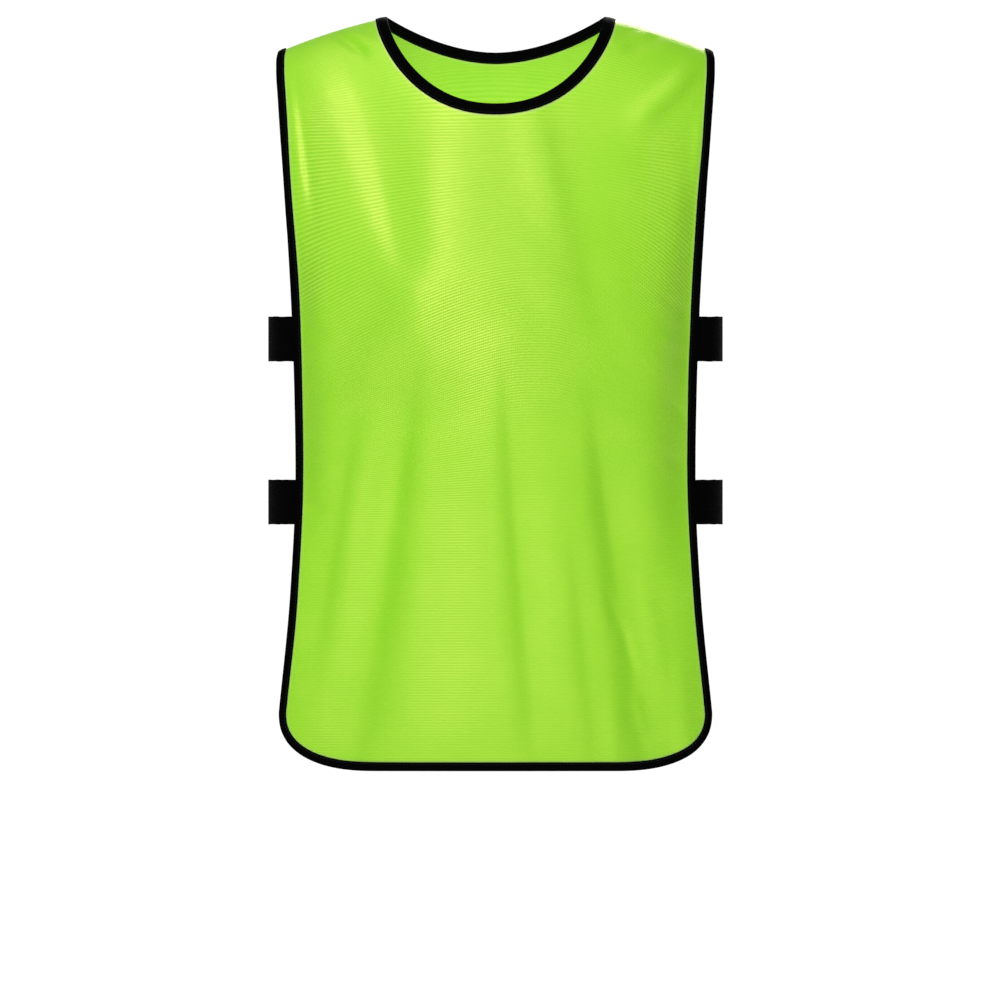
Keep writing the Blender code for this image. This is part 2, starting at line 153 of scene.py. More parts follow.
FRONT_CREASES = (
    # The largest folds, close to those of the solids
    Crease(-0.146, 0.000, -0.076, -0.245, -0.004, 0.014, 0.007, fade=0.2, top_width=1.7, flanks=(1.0, 1.6)),
    Crease(-0.008, -0.010, -0.112, -0.335, 0.0045, 0.020, fade=0.2, top_width=2.0, flanks=(1.3, 1.8)),
    Crease(0.026, -0.040, 0.084, -0.300, 0.0030, 0.017, fade=0.22, top_width=0.8, flanks=(1.5, 1.0)),
    Crease(0.183, -0.095, 0.173, -0.350, -0.0095, 0.016),
    Crease(0.172, -0.170, 0.172, -0.520, -0.0150, 0.024, fade=0.40),
    Crease(-0.072, -0.270, -0.156, -0.760, -0.010, 0.030, 0.009, fade=0.3, top_width=0.35, flanks=(1.7, 0.8)),
    Crease(-0.122, -0.310, -0.172, -0.620, -0.0042, 0.014, flanks=(1.6, 0.8)),
    Crease(0.008, -0.270, 0.046, -0.730, -0.0046, 0.017, -0.004, flanks=(0.7, 2.2)),
    Crease(0.068, -0.440, 0.098, -0.700, -0.0030, 0.014, flanks=(0.8, 1.8)),
    Crease(0.084, -0.290, 0.158, -0.760, -0.0085, 0.022, -0.006, fade=0.3, top_width=0.55, flanks=(0.8, 2.0)),
    # Pulls at the shoulders and the armholes
    Crease(-0.158, 0.002, -0.112, -0.028, -0.0030, 0.006, 0.003),
    Crease(-0.138, 0.008, -0.100, -0.008, -0.0026, 0.005, 0.002),
    Crease(0.160, 0.000, 0.108, -0.018, -0.0030, 0.007, 0.003),
    Crease(0.140, 0.006, 0.104, -0.006, -0.0024, 0.005, 0.002),
    Crease(-0.188, -0.030, -0.167, -0.190, 0.0009, 0.0045),
    Crease(-0.180, -0.040, -0.158, -0.200, -0.0009, 0.0045),
    Crease(-0.186, -0.070, -0.170, -0.250, 0.0020, 0.010),
    Crease(-0.179, -0.130, -0.174, -0.500, -0.0115, 0.018),
    Crease(0.188, -0.022, 0.112, -0.094, 0.0042, 0.012, 0.004, flanks=(1.2, 0.9)),
    Crease(0.186, -0.060, 0.176, -0.160, 0.0012, 0.005),
    # The chest's lower edges, the slack below it and the hem
    Crease(-0.110, -0.285, 0.085, -0.225, 0.0052, 0.024, 0.038, fade=0.25, top_width=1.0, flanks=(1.5, 2.2)),
    Crease(0.070, -0.210, 0.165, -0.310, 0.0016, 0.024, top_width=1.0, flanks=(1.0, 1.6)),
    Crease(0.128, -0.470, 0.160, -0.640, 0.0016, 0.012),
    Crease(0.164, -0.540, 0.174, -0.700, 0.0020, 0.012),
    Crease(0.104, -0.580, 0.112, -0.740, 0.0014, 0.011),
    Crease(-0.240, -0.695, 0.240, -0.695, -0.0110, 0.045, fade=0.05, top_width=1.0),
    # Small wrinkles beside the straps and in the lower right fold
    Crease(0.146, -0.236, 0.176, -0.262, -0.0016, 0.006),
    Crease(0.144, -0.276, 0.176, -0.288, 0.0016, 0.007),
    Crease(0.148, -0.330, 0.176, -0.356, -0.0018, 0.006, 0.002),
    Crease(0.150, -0.384, 0.176, -0.396, -0.0016, 0.006),
    Crease(0.096, -0.496, 0.112, -0.548, -0.0015, 0.006, 0.001),
    Crease(0.112, -0.526, 0.130, -0.590, -0.0017, 0.006, -0.002),
    Crease(0.122, -0.590, 0.136, -0.640, 0.0013, 0.006),
    Crease(-0.178, -0.262, -0.146, -0.280, -0.0013, 0.007),
    Crease(-0.178, -0.420, -0.150, -0.436, -0.0012, 0.007),
)

BACK_CREASES = (
    # The largest folds, which the solids have too
    Crease(0.125, -0.050, 0.080, -0.230, 0.0040, 0.018),
    Crease(-0.130, -0.050, -0.092, -0.240, 0.0040, 0.020),
    Crease(0.010, -0.110, 0.018, -0.330, -0.0035, 0.022),
    Crease(0.170, -0.150, 0.158, -0.420, -0.0040, 0.016),
    Crease(-0.172, -0.170, -0.156, -0.430, -0.0040, 0.016),
    Crease(0.094, -0.360, 0.128, -0.760, -0.0055, 0.018),
    Crease(0.030, -0.380, 0.042, -0.760, 0.0035, 0.024),
    Crease(-0.014, -0.340, -0.026, -0.760, -0.0045, 0.016),
    Crease(-0.090, -0.350, -0.122, -0.760, -0.0050, 0.018),
    # Pulls at the shoulders and the armholes
    Crease(0.154, 0.002, 0.112, -0.024, -0.0011, 0.006, 0.004),
    Crease(-0.150, 0.003, -0.108, -0.018, -0.0010, 0.005, -0.003),
    Crease(0.128, -0.012, 0.100, -0.058, 0.0010, 0.007, 0.003),
    Crease(-0.182, -0.050, -0.170, -0.140, 0.0009, 0.005),
    Crease(0.184, -0.044, 0.172, -0.120, -0.0007, 0.004),
    Crease(0.168, -0.100, 0.160, -0.280, 0.0014, 0.008),
    # The slack below the shoulder blades
    Crease(-0.145, -0.230, -0.060, -0.262, 0.0012, 0.015, -0.008),
    Crease(0.148, -0.240, 0.052, -0.268, 0.0013, 0.015, -0.008),
    Crease(-0.052, -0.470, -0.066, -0.650, 0.0014, 0.010),
    Crease(0.150, -0.520, 0.164, -0.700, 0.0016, 0.011),
    Crease(0.072, -0.540, 0.084, -0.760, 0.0012, 0.009),
    Crease(-0.158, -0.560, -0.168, -0.700, -0.0012, 0.010),
    Crease(-0.240, -0.695, 0.240, -0.695, -0.0070, 0.045, fade=0.05, top_width=1.0),
)


def smooth_step(value: Array) -> Array:
    """Rise from 0 to 1 with level ends, as 3 v squared less 2 v cubed."""
    v = np.clip(value, 0, 1)
    return v**2 * (3 - 2 * v)


def bell(value: Array, width: Array | float) -> Array:
    """Bell of height 1 about 0: e to the power of minus the squared value in widths."""
    return np.exp(-((value / width) ** 2))


@dataclass(frozen=True)
class Span:
    """Weight of 1 from low to high, which dies smoothly over soft outside them."""

    low: float
    high: float
    soft: float

    def at(self, value: Array) -> Array:
        """Weight at each value."""
        rise = smooth_step((value - self.low) / self.soft + 1)
        return rise * smooth_step((self.high - value) / self.soft + 1)


@dataclass(frozen=True)
class Spot:
    """Weight that is a bell about a centre."""

    centre: float
    width: float

    def at(self, value: Array) -> Array:
        """Weight at each value."""
        return bell(value - self.centre, self.width)


@dataclass(frozen=True)
class RibPatch:
    """Patch of cloth where the courses show: how strongly, and its place across and up the panel."""

    strength: float
    across: Span | Spot
    height: Span | Spot


RIB_PATCHES = {
    "chest": RibPatch(0.50, Span(-0.131, 0.056, 0.030), Span(-0.306, -0.100, 0.060)),
    "armhole": RibPatch(1.00, Spot(-0.161, 0.015), Span(-0.225, -0.090, 0.045)),
    "flank": RibPatch(0.65, Spot(0.150, 0.024), Span(-0.230, -0.108, 0.045)),
    "corner": RibPatch(0.50, Spot(-0.153, 0.010), Spot(-0.635, 0.010)),
}


def cubic(t: Array, start: Array, end: Array, leaving: Array, arriving: Array) -> Array:
    """Hermite cubic from start to end as t goes from 0 to 1, with these slopes at its two ends."""
    return (
        (1 + 2 * t) * (1 - t) ** 2 * start
        + t**2 * (3 - 2 * t) * end
        + t * (1 - t) ** 2 * leaving
        - t**2 * (1 - t) * arriving
    )


def through_rows(rows: tuple, column: str, height: Array) -> Array:
    """Smooth curve through a table's rows, each row's slope being that between its two neighbours.

    Args:
        rows: rows with a height, sorted by it.
        column: the field to read.
        height: where to read it; beyond the table it stays at the last row.
    Returns:
        The value at each height.
    """
    at = np.array([row.height for row in rows])
    value = np.array([getattr(row, column) for row in rows])
    slope = np.gradient(value, at)
    height = np.clip(height, at[0], at[-1])
    k = np.clip(np.searchsorted(at, height) - 1, 0, len(at) - 2)
    span = at[k + 1] - at[k]
    t = (height - at[k]) / span
    return cubic(t, value[k], value[k + 1], span * slope[k], span * slope[k + 1])


def unit(vectors: Array) -> Array:
    """Vectors made one long."""
    return vectors / np.linalg.norm(vectors, axis=-1, keepdims=True)


def grid_quads(number: Array) -> Array:
    """Corners of a grid's cells, in the order down and then across."""
    cells = (number[:-1, :-1], number[:-1, 1:], number[1:, 1:], number[1:, :-1])
    return np.stack([corner.ravel() for corner in cells], axis=-1)


def ring_cap(ring: Array) -> Array:
    """Quads that close a ring of an even count, as rungs between its two halves."""
    near, far = np.split(ring, 2)
    far = far[::-1]
    return np.stack([near[:-1], near[1:], far[1:], far[:-1]], axis=-1)


def travelled(line: Array) -> Array:
    """Length of a line from its first point to each of its points."""
    return np.concatenate([[0], np.cumsum(np.linalg.norm(np.diff(line, axis=0), axis=1))])


def read_at(at: Array, length: Array, rows: Array) -> Array:
    """Rows of values along a line, read at these lengths."""
    return np.stack([np.interp(at, length, column) for column in rows.T], axis=-1)


def capped_tube(number: Array) -> Array:
    """Quads of a closed tube, with a row of points for each ring."""
    body = grid_quads(np.concatenate([number, number[:, :1]], axis=1))
    return np.concatenate([body, ring_cap(number[0])[:, ::-1], ring_cap(number[-1])])


def spaced(x: Array, down: Array, shares: Array) -> Curve:
    """Points at these shares of a curve's length on the flat cloth."""
    line = np.stack([x, down], axis=-1)
    length = travelled(line)
    return tuple(read_at(shares * length[-1], length, line).T)


def numbered(rows: int, columns: int) -> Array:
    """Numbers of a grid's points, row by row."""
    return np.arange(rows * columns).reshape(rows, columns)


def opaque(colour: Triple) -> tuple[float, ...]:
    """Colour with full alpha."""
    return (*colour, 1.0)


def straight(start: Array, end: Array, count: int) -> Array:
    """That many points evenly from start to end."""
    share = np.linspace(0, 1, count)[:, None]
    return (1 - share) * start + share * end


def filled_grid(top: Array, bottom: Array, left: Array, right: Array) -> Array:
    """Grid between four edges: the blends of opposite edges added, less the blend of the four corners."""
    s = np.linspace(0, 1, top.shape[0])[:, None, None]
    w = np.linspace(0, 1, left.shape[0])[None, :, None]
    across = (1 - s) * left[None] + s * right[None]
    along = (1 - w) * top[:, None] + w * bottom[:, None]
    corners = (1 - s) * ((1 - w) * left[0] + w * left[-1]) + s * ((1 - w) * right[0] + w * right[-1])
    return across + along - corners


@dataclass(frozen=True)
class PanelForm:
    """One panel's surface, outline and creases, as functions of x and of the distance down the cloth."""

    facing: Facing
    neckline: Neckline
    creases: tuple[Crease, ...]
    ridge_top: float = 0.0210
    ridge_fall: float = 1.090
    neck_half_width: float = 0.0970
    hem_height: float = -0.6665
    corner_across: float = 0.0860
    corner_roundness: float = 2.4
    shoulder_turn: float = 0.0600
    ridge_setback: float = 0.0002
    side_samples: int = 600
    side_corner_samples: int = 150
    hem_samples: int = 400
    hem_corner_samples: int = 200
    neck_samples: int = 600

    @property
    def turn_length(self) -> float:
        """How much cloth turns over the shoulder, from the ridge to where it hangs."""
        return self.shoulder_turn * math.pi / 2

    def ridge_height(self, x: Array) -> Array:
        """Height of the shoulder ridge, which falls with the square of x."""
        return self.ridge_top - self.ridge_fall * x**2

    def height_at(self, x: Array, down: Array) -> Array:
        """Height of a point: round the quarter turn of the shoulder, and then straight down."""
        turn = np.clip(down / self.turn_length, 0, 1) * math.pi / 2
        fall = self.shoulder_turn * (1 - np.cos(turn)) + np.maximum(down - self.turn_length, 0)
        return self.ridge_height(x) - fall

    def down_at(self, x: Array, height: Array) -> Array:
        """How far down the cloth the point at x and that height lies."""
        fall = np.maximum(self.ridge_height(x) - height, 0)
        turn = np.arccos(1 - np.clip(fall / self.shoulder_turn, 0, 1))
        return turn * self.shoulder_turn + np.maximum(fall - self.shoulder_turn, 0)

    def crease_rise(self, x: Array, height: Array) -> Array:
        """How far the creases lift the cloth: each is a bell across its own bent line."""
        rise = np.zeros(np.broadcast(x, height).shape)
        for crease in self.creases:
            run_x, run_z = crease.foot_x - crease.top_x, crease.foot_height - crease.top_height
            length = math.hypot(run_x, run_z)
            from_x, from_z = x - crease.top_x, height - crease.top_height
            along = (from_x * run_x + from_z * run_z) / length**2
            inside = np.clip(along, 0, 1)
            bent = crease.bend * 4 * inside * (1 - inside)
            aside = (from_z * run_x - from_x * run_z) / length - bent
            width = crease.half_width * (crease.top_width + (1 - crease.top_width) * inside)
            width = width * np.where(aside < 0, *crease.flanks)
            fade = smooth_step(np.minimum(along, 1 - along) / crease.fade)
            rise += crease.rise * fade * bell(aside, width)
        return rise

    def surface(self, x: Array, down: Array) -> Array:
        """Middle of the cloth: the oval section at each height, turned over the ridge, with its creases."""
        height = self.height_at(x, down)
        half_width = through_rows(SECTIONS, "half_width", height)
        column = "front_depth" if self.facing is Facing.FRONT else "back_depth"
        depth = through_rows(SECTIONS, column, height)
        turn = np.clip(down / self.turn_length, 0, 1) * math.pi / 2
        oval = np.sqrt(np.maximum(1 - (x / half_width) ** 2, 0))
        away = depth * oval * np.sin(turn) + self.crease_rise(x, height)
        return np.stack([x, self.facing.value * away, height], axis=-1)

    def slopes(self, x: Array, down: Array) -> tuple[Array, Array]:
        """How the surface point moves as x grows and as down grows."""
        step = 1e-5
        across = self.surface(x + step, down) - self.surface(x - step, down)
        along = self.surface(x, down + step) - self.surface(x, down)
        return across / (2 * step), along / step

    def outward(self, x: Array, down: Array) -> Array:
        """Unit normal of the cloth, away from the wearer."""
        across, along = self.slopes(x, down)
        return unit(self.facing.value * np.cross(across, along))

    def inset(self, x: Array, down: Array, distance: float) -> Curve:
        """Points moved into the cloth, square to their own line, by a distance along the surface."""
        along_line = unit(np.gradient(self.surface(x, down), axis=0))
        inward = np.cross(along_line, self.outward(x, down)) * self.facing.value
        metric = np.stack(self.slopes(x, down), axis=-1)
        moved = np.einsum("nij,nj->ni", np.linalg.pinv(metric), inward * distance)
        setback = self.ridge_setback
        down_moved = np.where(down <= setback, down, down + moved[:, 1])
        return x + moved[:, 0], np.maximum(down_moved, setback)

    def corner_curve(self, angles: Array) -> Curve:
        """Lower corner on the +X side as a superellipse, from its side end at 0 to its hem end at pi / 2."""
        power = 2 / self.corner_roundness
        side = SIDE_OUTLINE[0]
        x = side.half_width - self.corner_across * (1 - np.cos(angles) ** power)
        height = side.height + (self.hem_height - side.height) * np.sin(angles) ** power
        return x, height

    def side_curve(self) -> Curve:
        """Finished outline on the +X side, from the shoulder tip to the middle of the lower corner."""
        top = self.ridge_height(SIDE_OUTLINE[-1].half_width)
        heights = np.linspace(top, SIDE_OUTLINE[0].height, self.side_samples)
        corner_x, corner_height = self.corner_curve(np.linspace(0, math.pi / 4, self.side_corner_samples)[1:])
        x = np.concatenate([through_rows(SIDE_OUTLINE, "half_width", heights), corner_x])
        height = np.concatenate([heights, corner_height])
        return x, np.maximum(self.down_at(x, height), self.ridge_setback)

    def hem_curve(self) -> Curve:
        """Finished outline along the hem, from the middle of the -X corner to that of the +X corner."""
        x, height = self.corner_curve(np.linspace(math.pi / 4, math.pi / 2, self.hem_corner_samples))
        level = np.linspace(-x[-1], x[-1], self.hem_samples)[1:-1]
        x = np.concatenate([-x, level, x[::-1]])
        height = np.concatenate([height, np.full(level.shape, self.hem_height), height[::-1]])
        return x, self.down_at(x, height)

    def neck_curve(self) -> Curve:
        """Finished neckline from the -X shoulder ridge to the +X one."""
        across = np.sin(np.linspace(-math.pi / 2, math.pi / 2, self.neck_samples))
        neck = self.neckline
        drop = neck.drop * (1 - np.abs(across) ** neck.bow) ** neck.fullness
        x = self.neck_half_width * across
        height = self.ridge_height(self.neck_half_width) - drop
        return x, np.maximum(self.down_at(x, height), self.ridge_setback)

    def edge_run(self, side_shares: Array, hem_shares: Array) -> Curve:
        """Finished edge down the -X side, along the hem and up the +X side."""
        side_x, side_down = spaced(*self.side_curve(), side_shares)
        hem_x, hem_down = spaced(*self.hem_curve(), hem_shares)
        x = np.concatenate([-side_x, hem_x[1:-1], side_x[::-1]])
        down = np.concatenate([side_down, hem_down[1:-1], side_down[::-1]])
        return x, down

    def neck_run(self, shares: Array) -> Curve:
        """Finished neckline from the +X ridge down and up to the -X one."""
        return spaced(*self.neck_curve(), 1 - shares)


FRONT_FORM = PanelForm(Facing.FRONT, Neckline(0.0774, 2.20, 0.68), FRONT_CREASES)
BACK_FORM = PanelForm(Facing.BACK, Neckline(0.0306, 1.85, 1.00), BACK_CREASES)


class Graph:
    """A node tree with short ways to add nodes and feed their sockets."""

    def __init__(self, tree: NodeTree) -> None:
        """Keep the tree that nodes go into."""
        self.tree = tree

    def node(self, kind: str, **settings) -> Node:
        """Add a node of a kind, with its settings."""
        made = self.tree.nodes.new(kind)
        for name, value in settings.items():
            setattr(made, name, value)
        return made

    def feed(self, socket: NodeSocket, value) -> None:
        """Link a socket to another, or set its constant."""
        if isinstance(value, NodeSocket):
            self.tree.links.new(value, socket)
        else:
            socket.default_value = value

    def feed_all(self, node: Node, **values) -> NodeOutputs:
        """Feed a node's sockets by name, a space being written as an underline, and return its outputs."""
        for name, value in values.items():
            self.feed(node.inputs[name.replace("_", " ")], value)
        return node.outputs

    def math(self, operation: str, *values, clamp: bool = False) -> NodeSocket:
        """Result of a Math node on these values."""
        made = self.node("ShaderNodeMath", operation=operation, use_clamp=clamp)
        for socket, value in zip(made.inputs, values):
            self.feed(socket, value)
        return made.outputs[0]

    def times(self, first, second, clamp: bool = False) -> NodeSocket:
        """Product of two values."""
        return self.math("MULTIPLY", first, second, clamp=clamp)

    def scaled(self, value, factor, offset) -> NodeSocket:
        """A value times a factor, plus an offset."""
        return self.math("MULTIPLY_ADD", value, factor, offset)

    def rest(self, value) -> NodeSocket:
        """What a value lacks to 1."""
        return self.math("SUBTRACT", 1.0, value)

    def ramp(self, value, low: float, high: float) -> NodeSocket:
        """0 below low and 1 above high, smooth between them."""
        made = self.node("ShaderNodeMapRange", interpolation_type="SMOOTHSTEP")
        return self.feed_all(made, Value=value, From_Min=low, From_Max=high)["Result"]

    def mix(self, factor, first, second) -> NodeSocket:
        """Colour between two colours."""
        made = self.node("ShaderNodeMix", data_type="RGBA")
        self.feed(made.inputs["Factor"], factor)
        for socket, colour in ((made.inputs[6], first), (made.inputs[7], second)):
            self.feed(socket, colour)
        return made.outputs[2]

    def noise(self, vector, scale: float, detail: float = 2.0) -> NodeSocket:
        """Noise from 0 to 1 at that many features a metre."""
        made = self.node("ShaderNodeTexNoise")
        return self.feed_all(made, Vector=vector, Scale=scale, Detail=detail)["Fac"]

    def split(self, vector) -> NodeOutputs:
        """The X, Y and Z of a vector."""
        made = self.node("ShaderNodeSeparateXYZ")
        self.feed(made.inputs[0], vector)
        return made.outputs

    def join(self, x, y, z=0.0) -> NodeSocket:
        """A vector of these three."""
        made = self.node("ShaderNodeCombineXYZ")
        for socket, value in zip(made.inputs, (x, y, z)):
            self.feed(socket, value)
        return made.outputs[0]

    def wave(self, value, period) -> NodeSocket:
        """Cosine of that period in the value, from 0 to 1."""
        turns = self.times(self.math("DIVIDE", value, period), math.tau)
        return self.scaled(self.math("COSINE", turns), 0.5, 0.5)


def shader_group(name: str, inputs: dict[str, str], outputs: tuple[str, ...]) -> tuple[Graph, dict, dict]:
    """New node group with these sockets.

    Args:
        name: the group's name.
        inputs: each input's name and its kind, vector or float.
        outputs: the names of its outputs, all values.
    Returns:
        The group's graph, its inputs inside, and the sockets that its outputs are fed through.
    """
    kinds = {"vector": "NodeSocketVector", "float": "NodeSocketFloat"}
    tree = bpy.data.node_groups.new(name, "ShaderNodeTree")
    for socket, kind in inputs.items():
        tree.interface.new_socket(socket, in_out="INPUT", socket_type=kinds[kind])
    for socket in outputs:
        tree.interface.new_socket(socket, in_out="OUTPUT", socket_type="NodeSocketFloat")
    graph = Graph(tree)
    source = graph.node("NodeGroupInput")
    target = graph.node("NodeGroupOutput")
    return graph, dict(source.outputs.items()), dict(target.inputs.items())


class SharedEffects:
    """Node groups that the finishes share, each built once."""

    WANDER = (0.25, 260.0)
    BREAKS = (0.50, 420.0)
    RIB_RANGE, RIB_LEAST = 0.90, 0.45
    HOLE_FROM, HOLE_TO = 0.55, 0.85
    CORD_SHARE, PICK_SHARE = 0.65, 0.35
    CLOUD_DETAIL, GRAIN_DETAIL = 3.0, 1.0

    def __init__(self) -> None:
        """Build the groups."""
        self.courses = self._courses()
        self.mottle = self._mottle()
        self.cords = self._cords()

    def _courses(self) -> NodeTree:
        """Knit courses: rounded ribs across the cloth, and a hole between wales in every furrow.

        WANDER and BREAKS give how far each noise is drawn out along the ribs, and its scale.
        """
        graph, given, out = shader_group(
            "knit_courses",
            {"Place": "vector", "Course": "float", "Wale": "float", "Unevenness": "float"},
            ("Rib", "Hole"),
        )
        x, y, _ = graph.split(given["Place"])
        noises = (self.WANDER, self.BREAKS)
        drawn, broken = (graph.noise(graph.join(graph.times(x, share), y), scale) for share, scale in noises)
        wander = graph.times(graph.math("SUBTRACT", drawn, 0.5), given["Unevenness"])
        rib = graph.wave(graph.math("ADD", y, wander), given["Course"])
        rib = graph.times(rib, graph.scaled(broken, self.RIB_RANGE, self.RIB_LEAST), clamp=True)
        between = graph.times(graph.rest(rib), graph.rest(graph.wave(x, given["Wale"])))
        graph.feed(out["Rib"], rib)
        graph.feed(out["Hole"], graph.ramp(between, self.HOLE_FROM, self.HOLE_TO))
        return graph.tree

    def _mottle(self) -> NodeTree:
        """Uneven dye and fuzz: broad cloud and fine grain, each from 0 to 1."""
        graph, given, out = shader_group(
            "cloth_mottle", {"Place": "vector", "Cloud": "float", "Grain": "float"}, ("Cloud", "Grain")
        )
        for name, detail in (("Cloud", self.CLOUD_DETAIL), ("Grain", self.GRAIN_DETAIL)):
            graph.feed(out[name], graph.noise(given["Place"], given[name], detail))
        return graph.tree

    def _cords(self) -> NodeTree:
        """Woven band: rounded cords along it, crossed by finer picks."""
        graph, given, out = shader_group(
            "woven_cords", {"Place": "vector", "Cord": "float", "Pick": "float"}, ("Relief",)
        )
        x, y, _ = graph.split(given["Place"])
        cord = graph.math("FLOOR", graph.math("DIVIDE", y, given["Cord"]))
        shifted = graph.scaled(cord, graph.times(given["Pick"], 0.5), x)
        picks = graph.times(graph.wave(shifted, given["Pick"]), self.PICK_SHARE)
        graph.feed(out["Relief"], graph.scaled(graph.wave(y, given["Cord"]), self.CORD_SHARE, picks))
        return graph.tree

    @staticmethod
    def place(graph: Graph, group: NodeTree, **values) -> NodeOutputs:
        """Put a group into a material with its values."""
        return graph.feed_all(graph.node("ShaderNodeGroup", node_tree=group), **values)


@dataclass(frozen=True)
class Finish:
    """What all the cloth finishes have: their name, slot, colour and roughness."""

    name: str
    slot: str
    colour: Triple
    roughness: float

    def start(
        self, effects: SharedEffects, cloud: float, grain: float
    ) -> tuple[Material, Graph, Node, NodeSocket, NodeOutputs]:
        """New material, its graph, its Principled shader, the weave coordinates and a mottle."""
        made = bpy.data.materials.new(self.name)
        made.use_nodes = True
        graph = Graph(made.node_tree)
        weave = graph.node("ShaderNodeUVMap", uv_map=UV_LAYER).outputs["UV"]
        mottle = effects.place(graph, effects.mottle, Place=weave, Cloud=cloud, Grain=grain)
        shader = made.node_tree.nodes["Principled BSDF"]
        graph.feed_all(shader, Base_Color=opaque(self.colour), Roughness=self.roughness)
        return made, graph, shader, weave, mottle

    def roughen(self, graph: Graph, cause: NodeSocket, spread: float) -> NodeSocket:
        """The roughness, moved by a cause of 0 to 1 over a spread about it."""
        return graph.scaled(cause, spread, self.roughness - spread / 2)

    @staticmethod
    def bump(graph: Graph, height, distance: float) -> NodeSocket:
        """Normal of the surface raised by a height of 0 to 1 times a distance."""
        made = graph.node("ShaderNodeBump")
        return graph.feed_all(made, Strength=1.0, Distance=distance, Height=height)["Normal"]


@dataclass(frozen=True)
class KnitFinish(Finish):
    """Bright satin mesh: ribbed courses that show where the cloth is drawn tight."""

    # The light colour is a painted highlight on the rib crests, and also the lighter tone of the dye's cloud;
    # the dark colour is painted shade in the furrows and the holes.
    light: Triple = (0.72, 1.0, 0.12)
    painted_shade: Triple = (0.16, 0.54, 0.012)
    # Colour of the painted highlight on the cloth beside the tapes.
    edge: Triple = (0.70, 0.95, 0.36)
    lustre_colour: Triple = (1.0, 0.62, 0.25)
    course: float = 2.45 * MM
    wale: float = 1.9 * MM
    unevenness: float = 0.9 * MM
    relief: float = 0.38 * MM
    # A painted glow of the cloth's own colour: it stands in for the neon dye's fluorescence and lifts the
    # shaded side.
    painted_glow: float = 0.09
    lustre: float = 2.2
    stretch: float = 0.70
    stretch_turn: float = 0.25
    # Shares of painted highlight on the rib crests, and of painted shade in the furrows and in the holes.
    rib_highlight: float = 0.40
    furrow_shade: float = 0.32
    hole_shade: Pair = (0.20, 0.05)
    cloud_light: float = 0.08
    cloud_range: Pair = (0.35, 0.75)
    rough_spread: float = 0.10
    grain_relief: float = 0.12
    rib_relief: Pair = (0.75, 0.25)
    hole_relief: float = 0.3

    def material(self, effects: SharedEffects) -> Material:
        """Build the material from the weave coordinates and two masks on the cloth: where the ribs show, and
        a painted highlight beside the tapes.

        The ribs' crests get a painted highlight, and their furrows and holes painted shade. Of the two
        numbers of the holes' shade and of rib_relief, the first grows with the ribs' mask.
        """
        made, graph, shader, weave, mottle = self.start(effects, 22.0, 900.0)
        masks = (graph.node("ShaderNodeAttribute", attribute_name=mask) for mask in (RIB_MASK, HIGHLIGHT_MASK))
        show, highlight_share = (mask.outputs["Fac"] for mask in masks)
        sizes = {"Course": self.course, "Wale": self.wale, "Unevenness": self.unevenness}
        knit = effects.place(graph, effects.courses, Place=weave, **sizes)
        light, painted_shade = opaque(self.light), opaque(self.painted_shade)
        # Painted highlight on the ribs' crests, and painted shade in their furrows and in the holes.
        raised = graph.times(knit["Rib"], show)
        furrow = graph.times(graph.rest(knit["Rib"]), show)
        shaded_holes = graph.times(knit["Hole"], graph.scaled(show, *self.hole_shade))
        cloud = graph.times(graph.ramp(mottle["Cloud"], *self.cloud_range), self.cloud_light)
        colour = graph.mix(graph.times(raised, self.rib_highlight), opaque(self.colour), light)
        colour = graph.mix(graph.times(furrow, self.furrow_shade), colour, painted_shade)
        colour = graph.mix(cloud, graph.mix(shaded_holes, colour, painted_shade), light)
        height = graph.times(mottle["Grain"], self.grain_relief)
        height = graph.scaled(knit["Rib"], graph.scaled(show, *self.rib_relief), height)
        height = graph.math("SUBTRACT", height, graph.times(knit["Hole"], self.hole_relief))
        along_ribs = graph.node("ShaderNodeTangent", direction_type="UV_MAP", uv_map=UV_LAYER)
        graph.feed_all(
            shader,
            # Painted highlight beside the tapes.
            Base_Color=graph.mix(highlight_share, colour, opaque(self.edge)),
            Roughness=self.roughen(graph, mottle["Grain"], self.rough_spread),
            IOR=self.lustre,
            Anisotropic=self.stretch,
            Anisotropic_Rotation=self.stretch_turn,
            Tangent=along_ribs.outputs["Tangent"],
            Specular_Tint=opaque(self.lustre_colour),
            # Painted glow of the cloth's own colour.
            Emission_Color=opaque(self.colour),
            Emission_Strength=self.painted_glow,
            Normal=self.bump(graph, height, self.relief),
        )
        return made


@dataclass(frozen=True)
class BandFinish(Finish):
    """Black woven band, as tape or as elastic, by the size of its cords and picks."""

    # The worn colour serves both the lint and the painted highlight on the cords.
    worn: Triple = (0.0018, 0.0018, 0.0021)
    cord: float = 0.9 * MM
    pick: float = 1.1 * MM
    relief: float = 0.12 * MM
    lint: float = 0.5
    lint_range: Pair = (0.55, 0.80)
    # Share of painted highlight on the raised cords.
    cord_highlight: float = 0.25
    rough_spread: float = 0.16
    grain_relief: float = 0.2
    gloss: float = 0.02

    def material(self, effects: SharedEffects) -> Material:
        """Build the material from the weave coordinates: along the band, and across it."""
        made, graph, shader, weave, mottle = self.start(effects, 60.0, 1500.0)
        woven = effects.place(graph, effects.cords, Place=weave, Cord=self.cord, Pick=self.pick)
        lint = graph.times(graph.ramp(mottle["Grain"], *self.lint_range), self.lint)
        # Painted highlight on the raised cords, added to the lint.
        lint = graph.scaled(woven["Relief"], self.cord_highlight, lint)
        height = graph.scaled(mottle["Grain"], self.grain_relief, woven["Relief"])
        graph.feed_all(
            shader,
            Base_Color=graph.mix(lint, opaque(self.colour), opaque(self.worn)),
            Roughness=self.roughen(graph, mottle["Cloud"], self.rough_spread),
            Specular_IOR_Level=self.gloss,
            Normal=self.bump(graph, height, self.relief),
        )
        return made


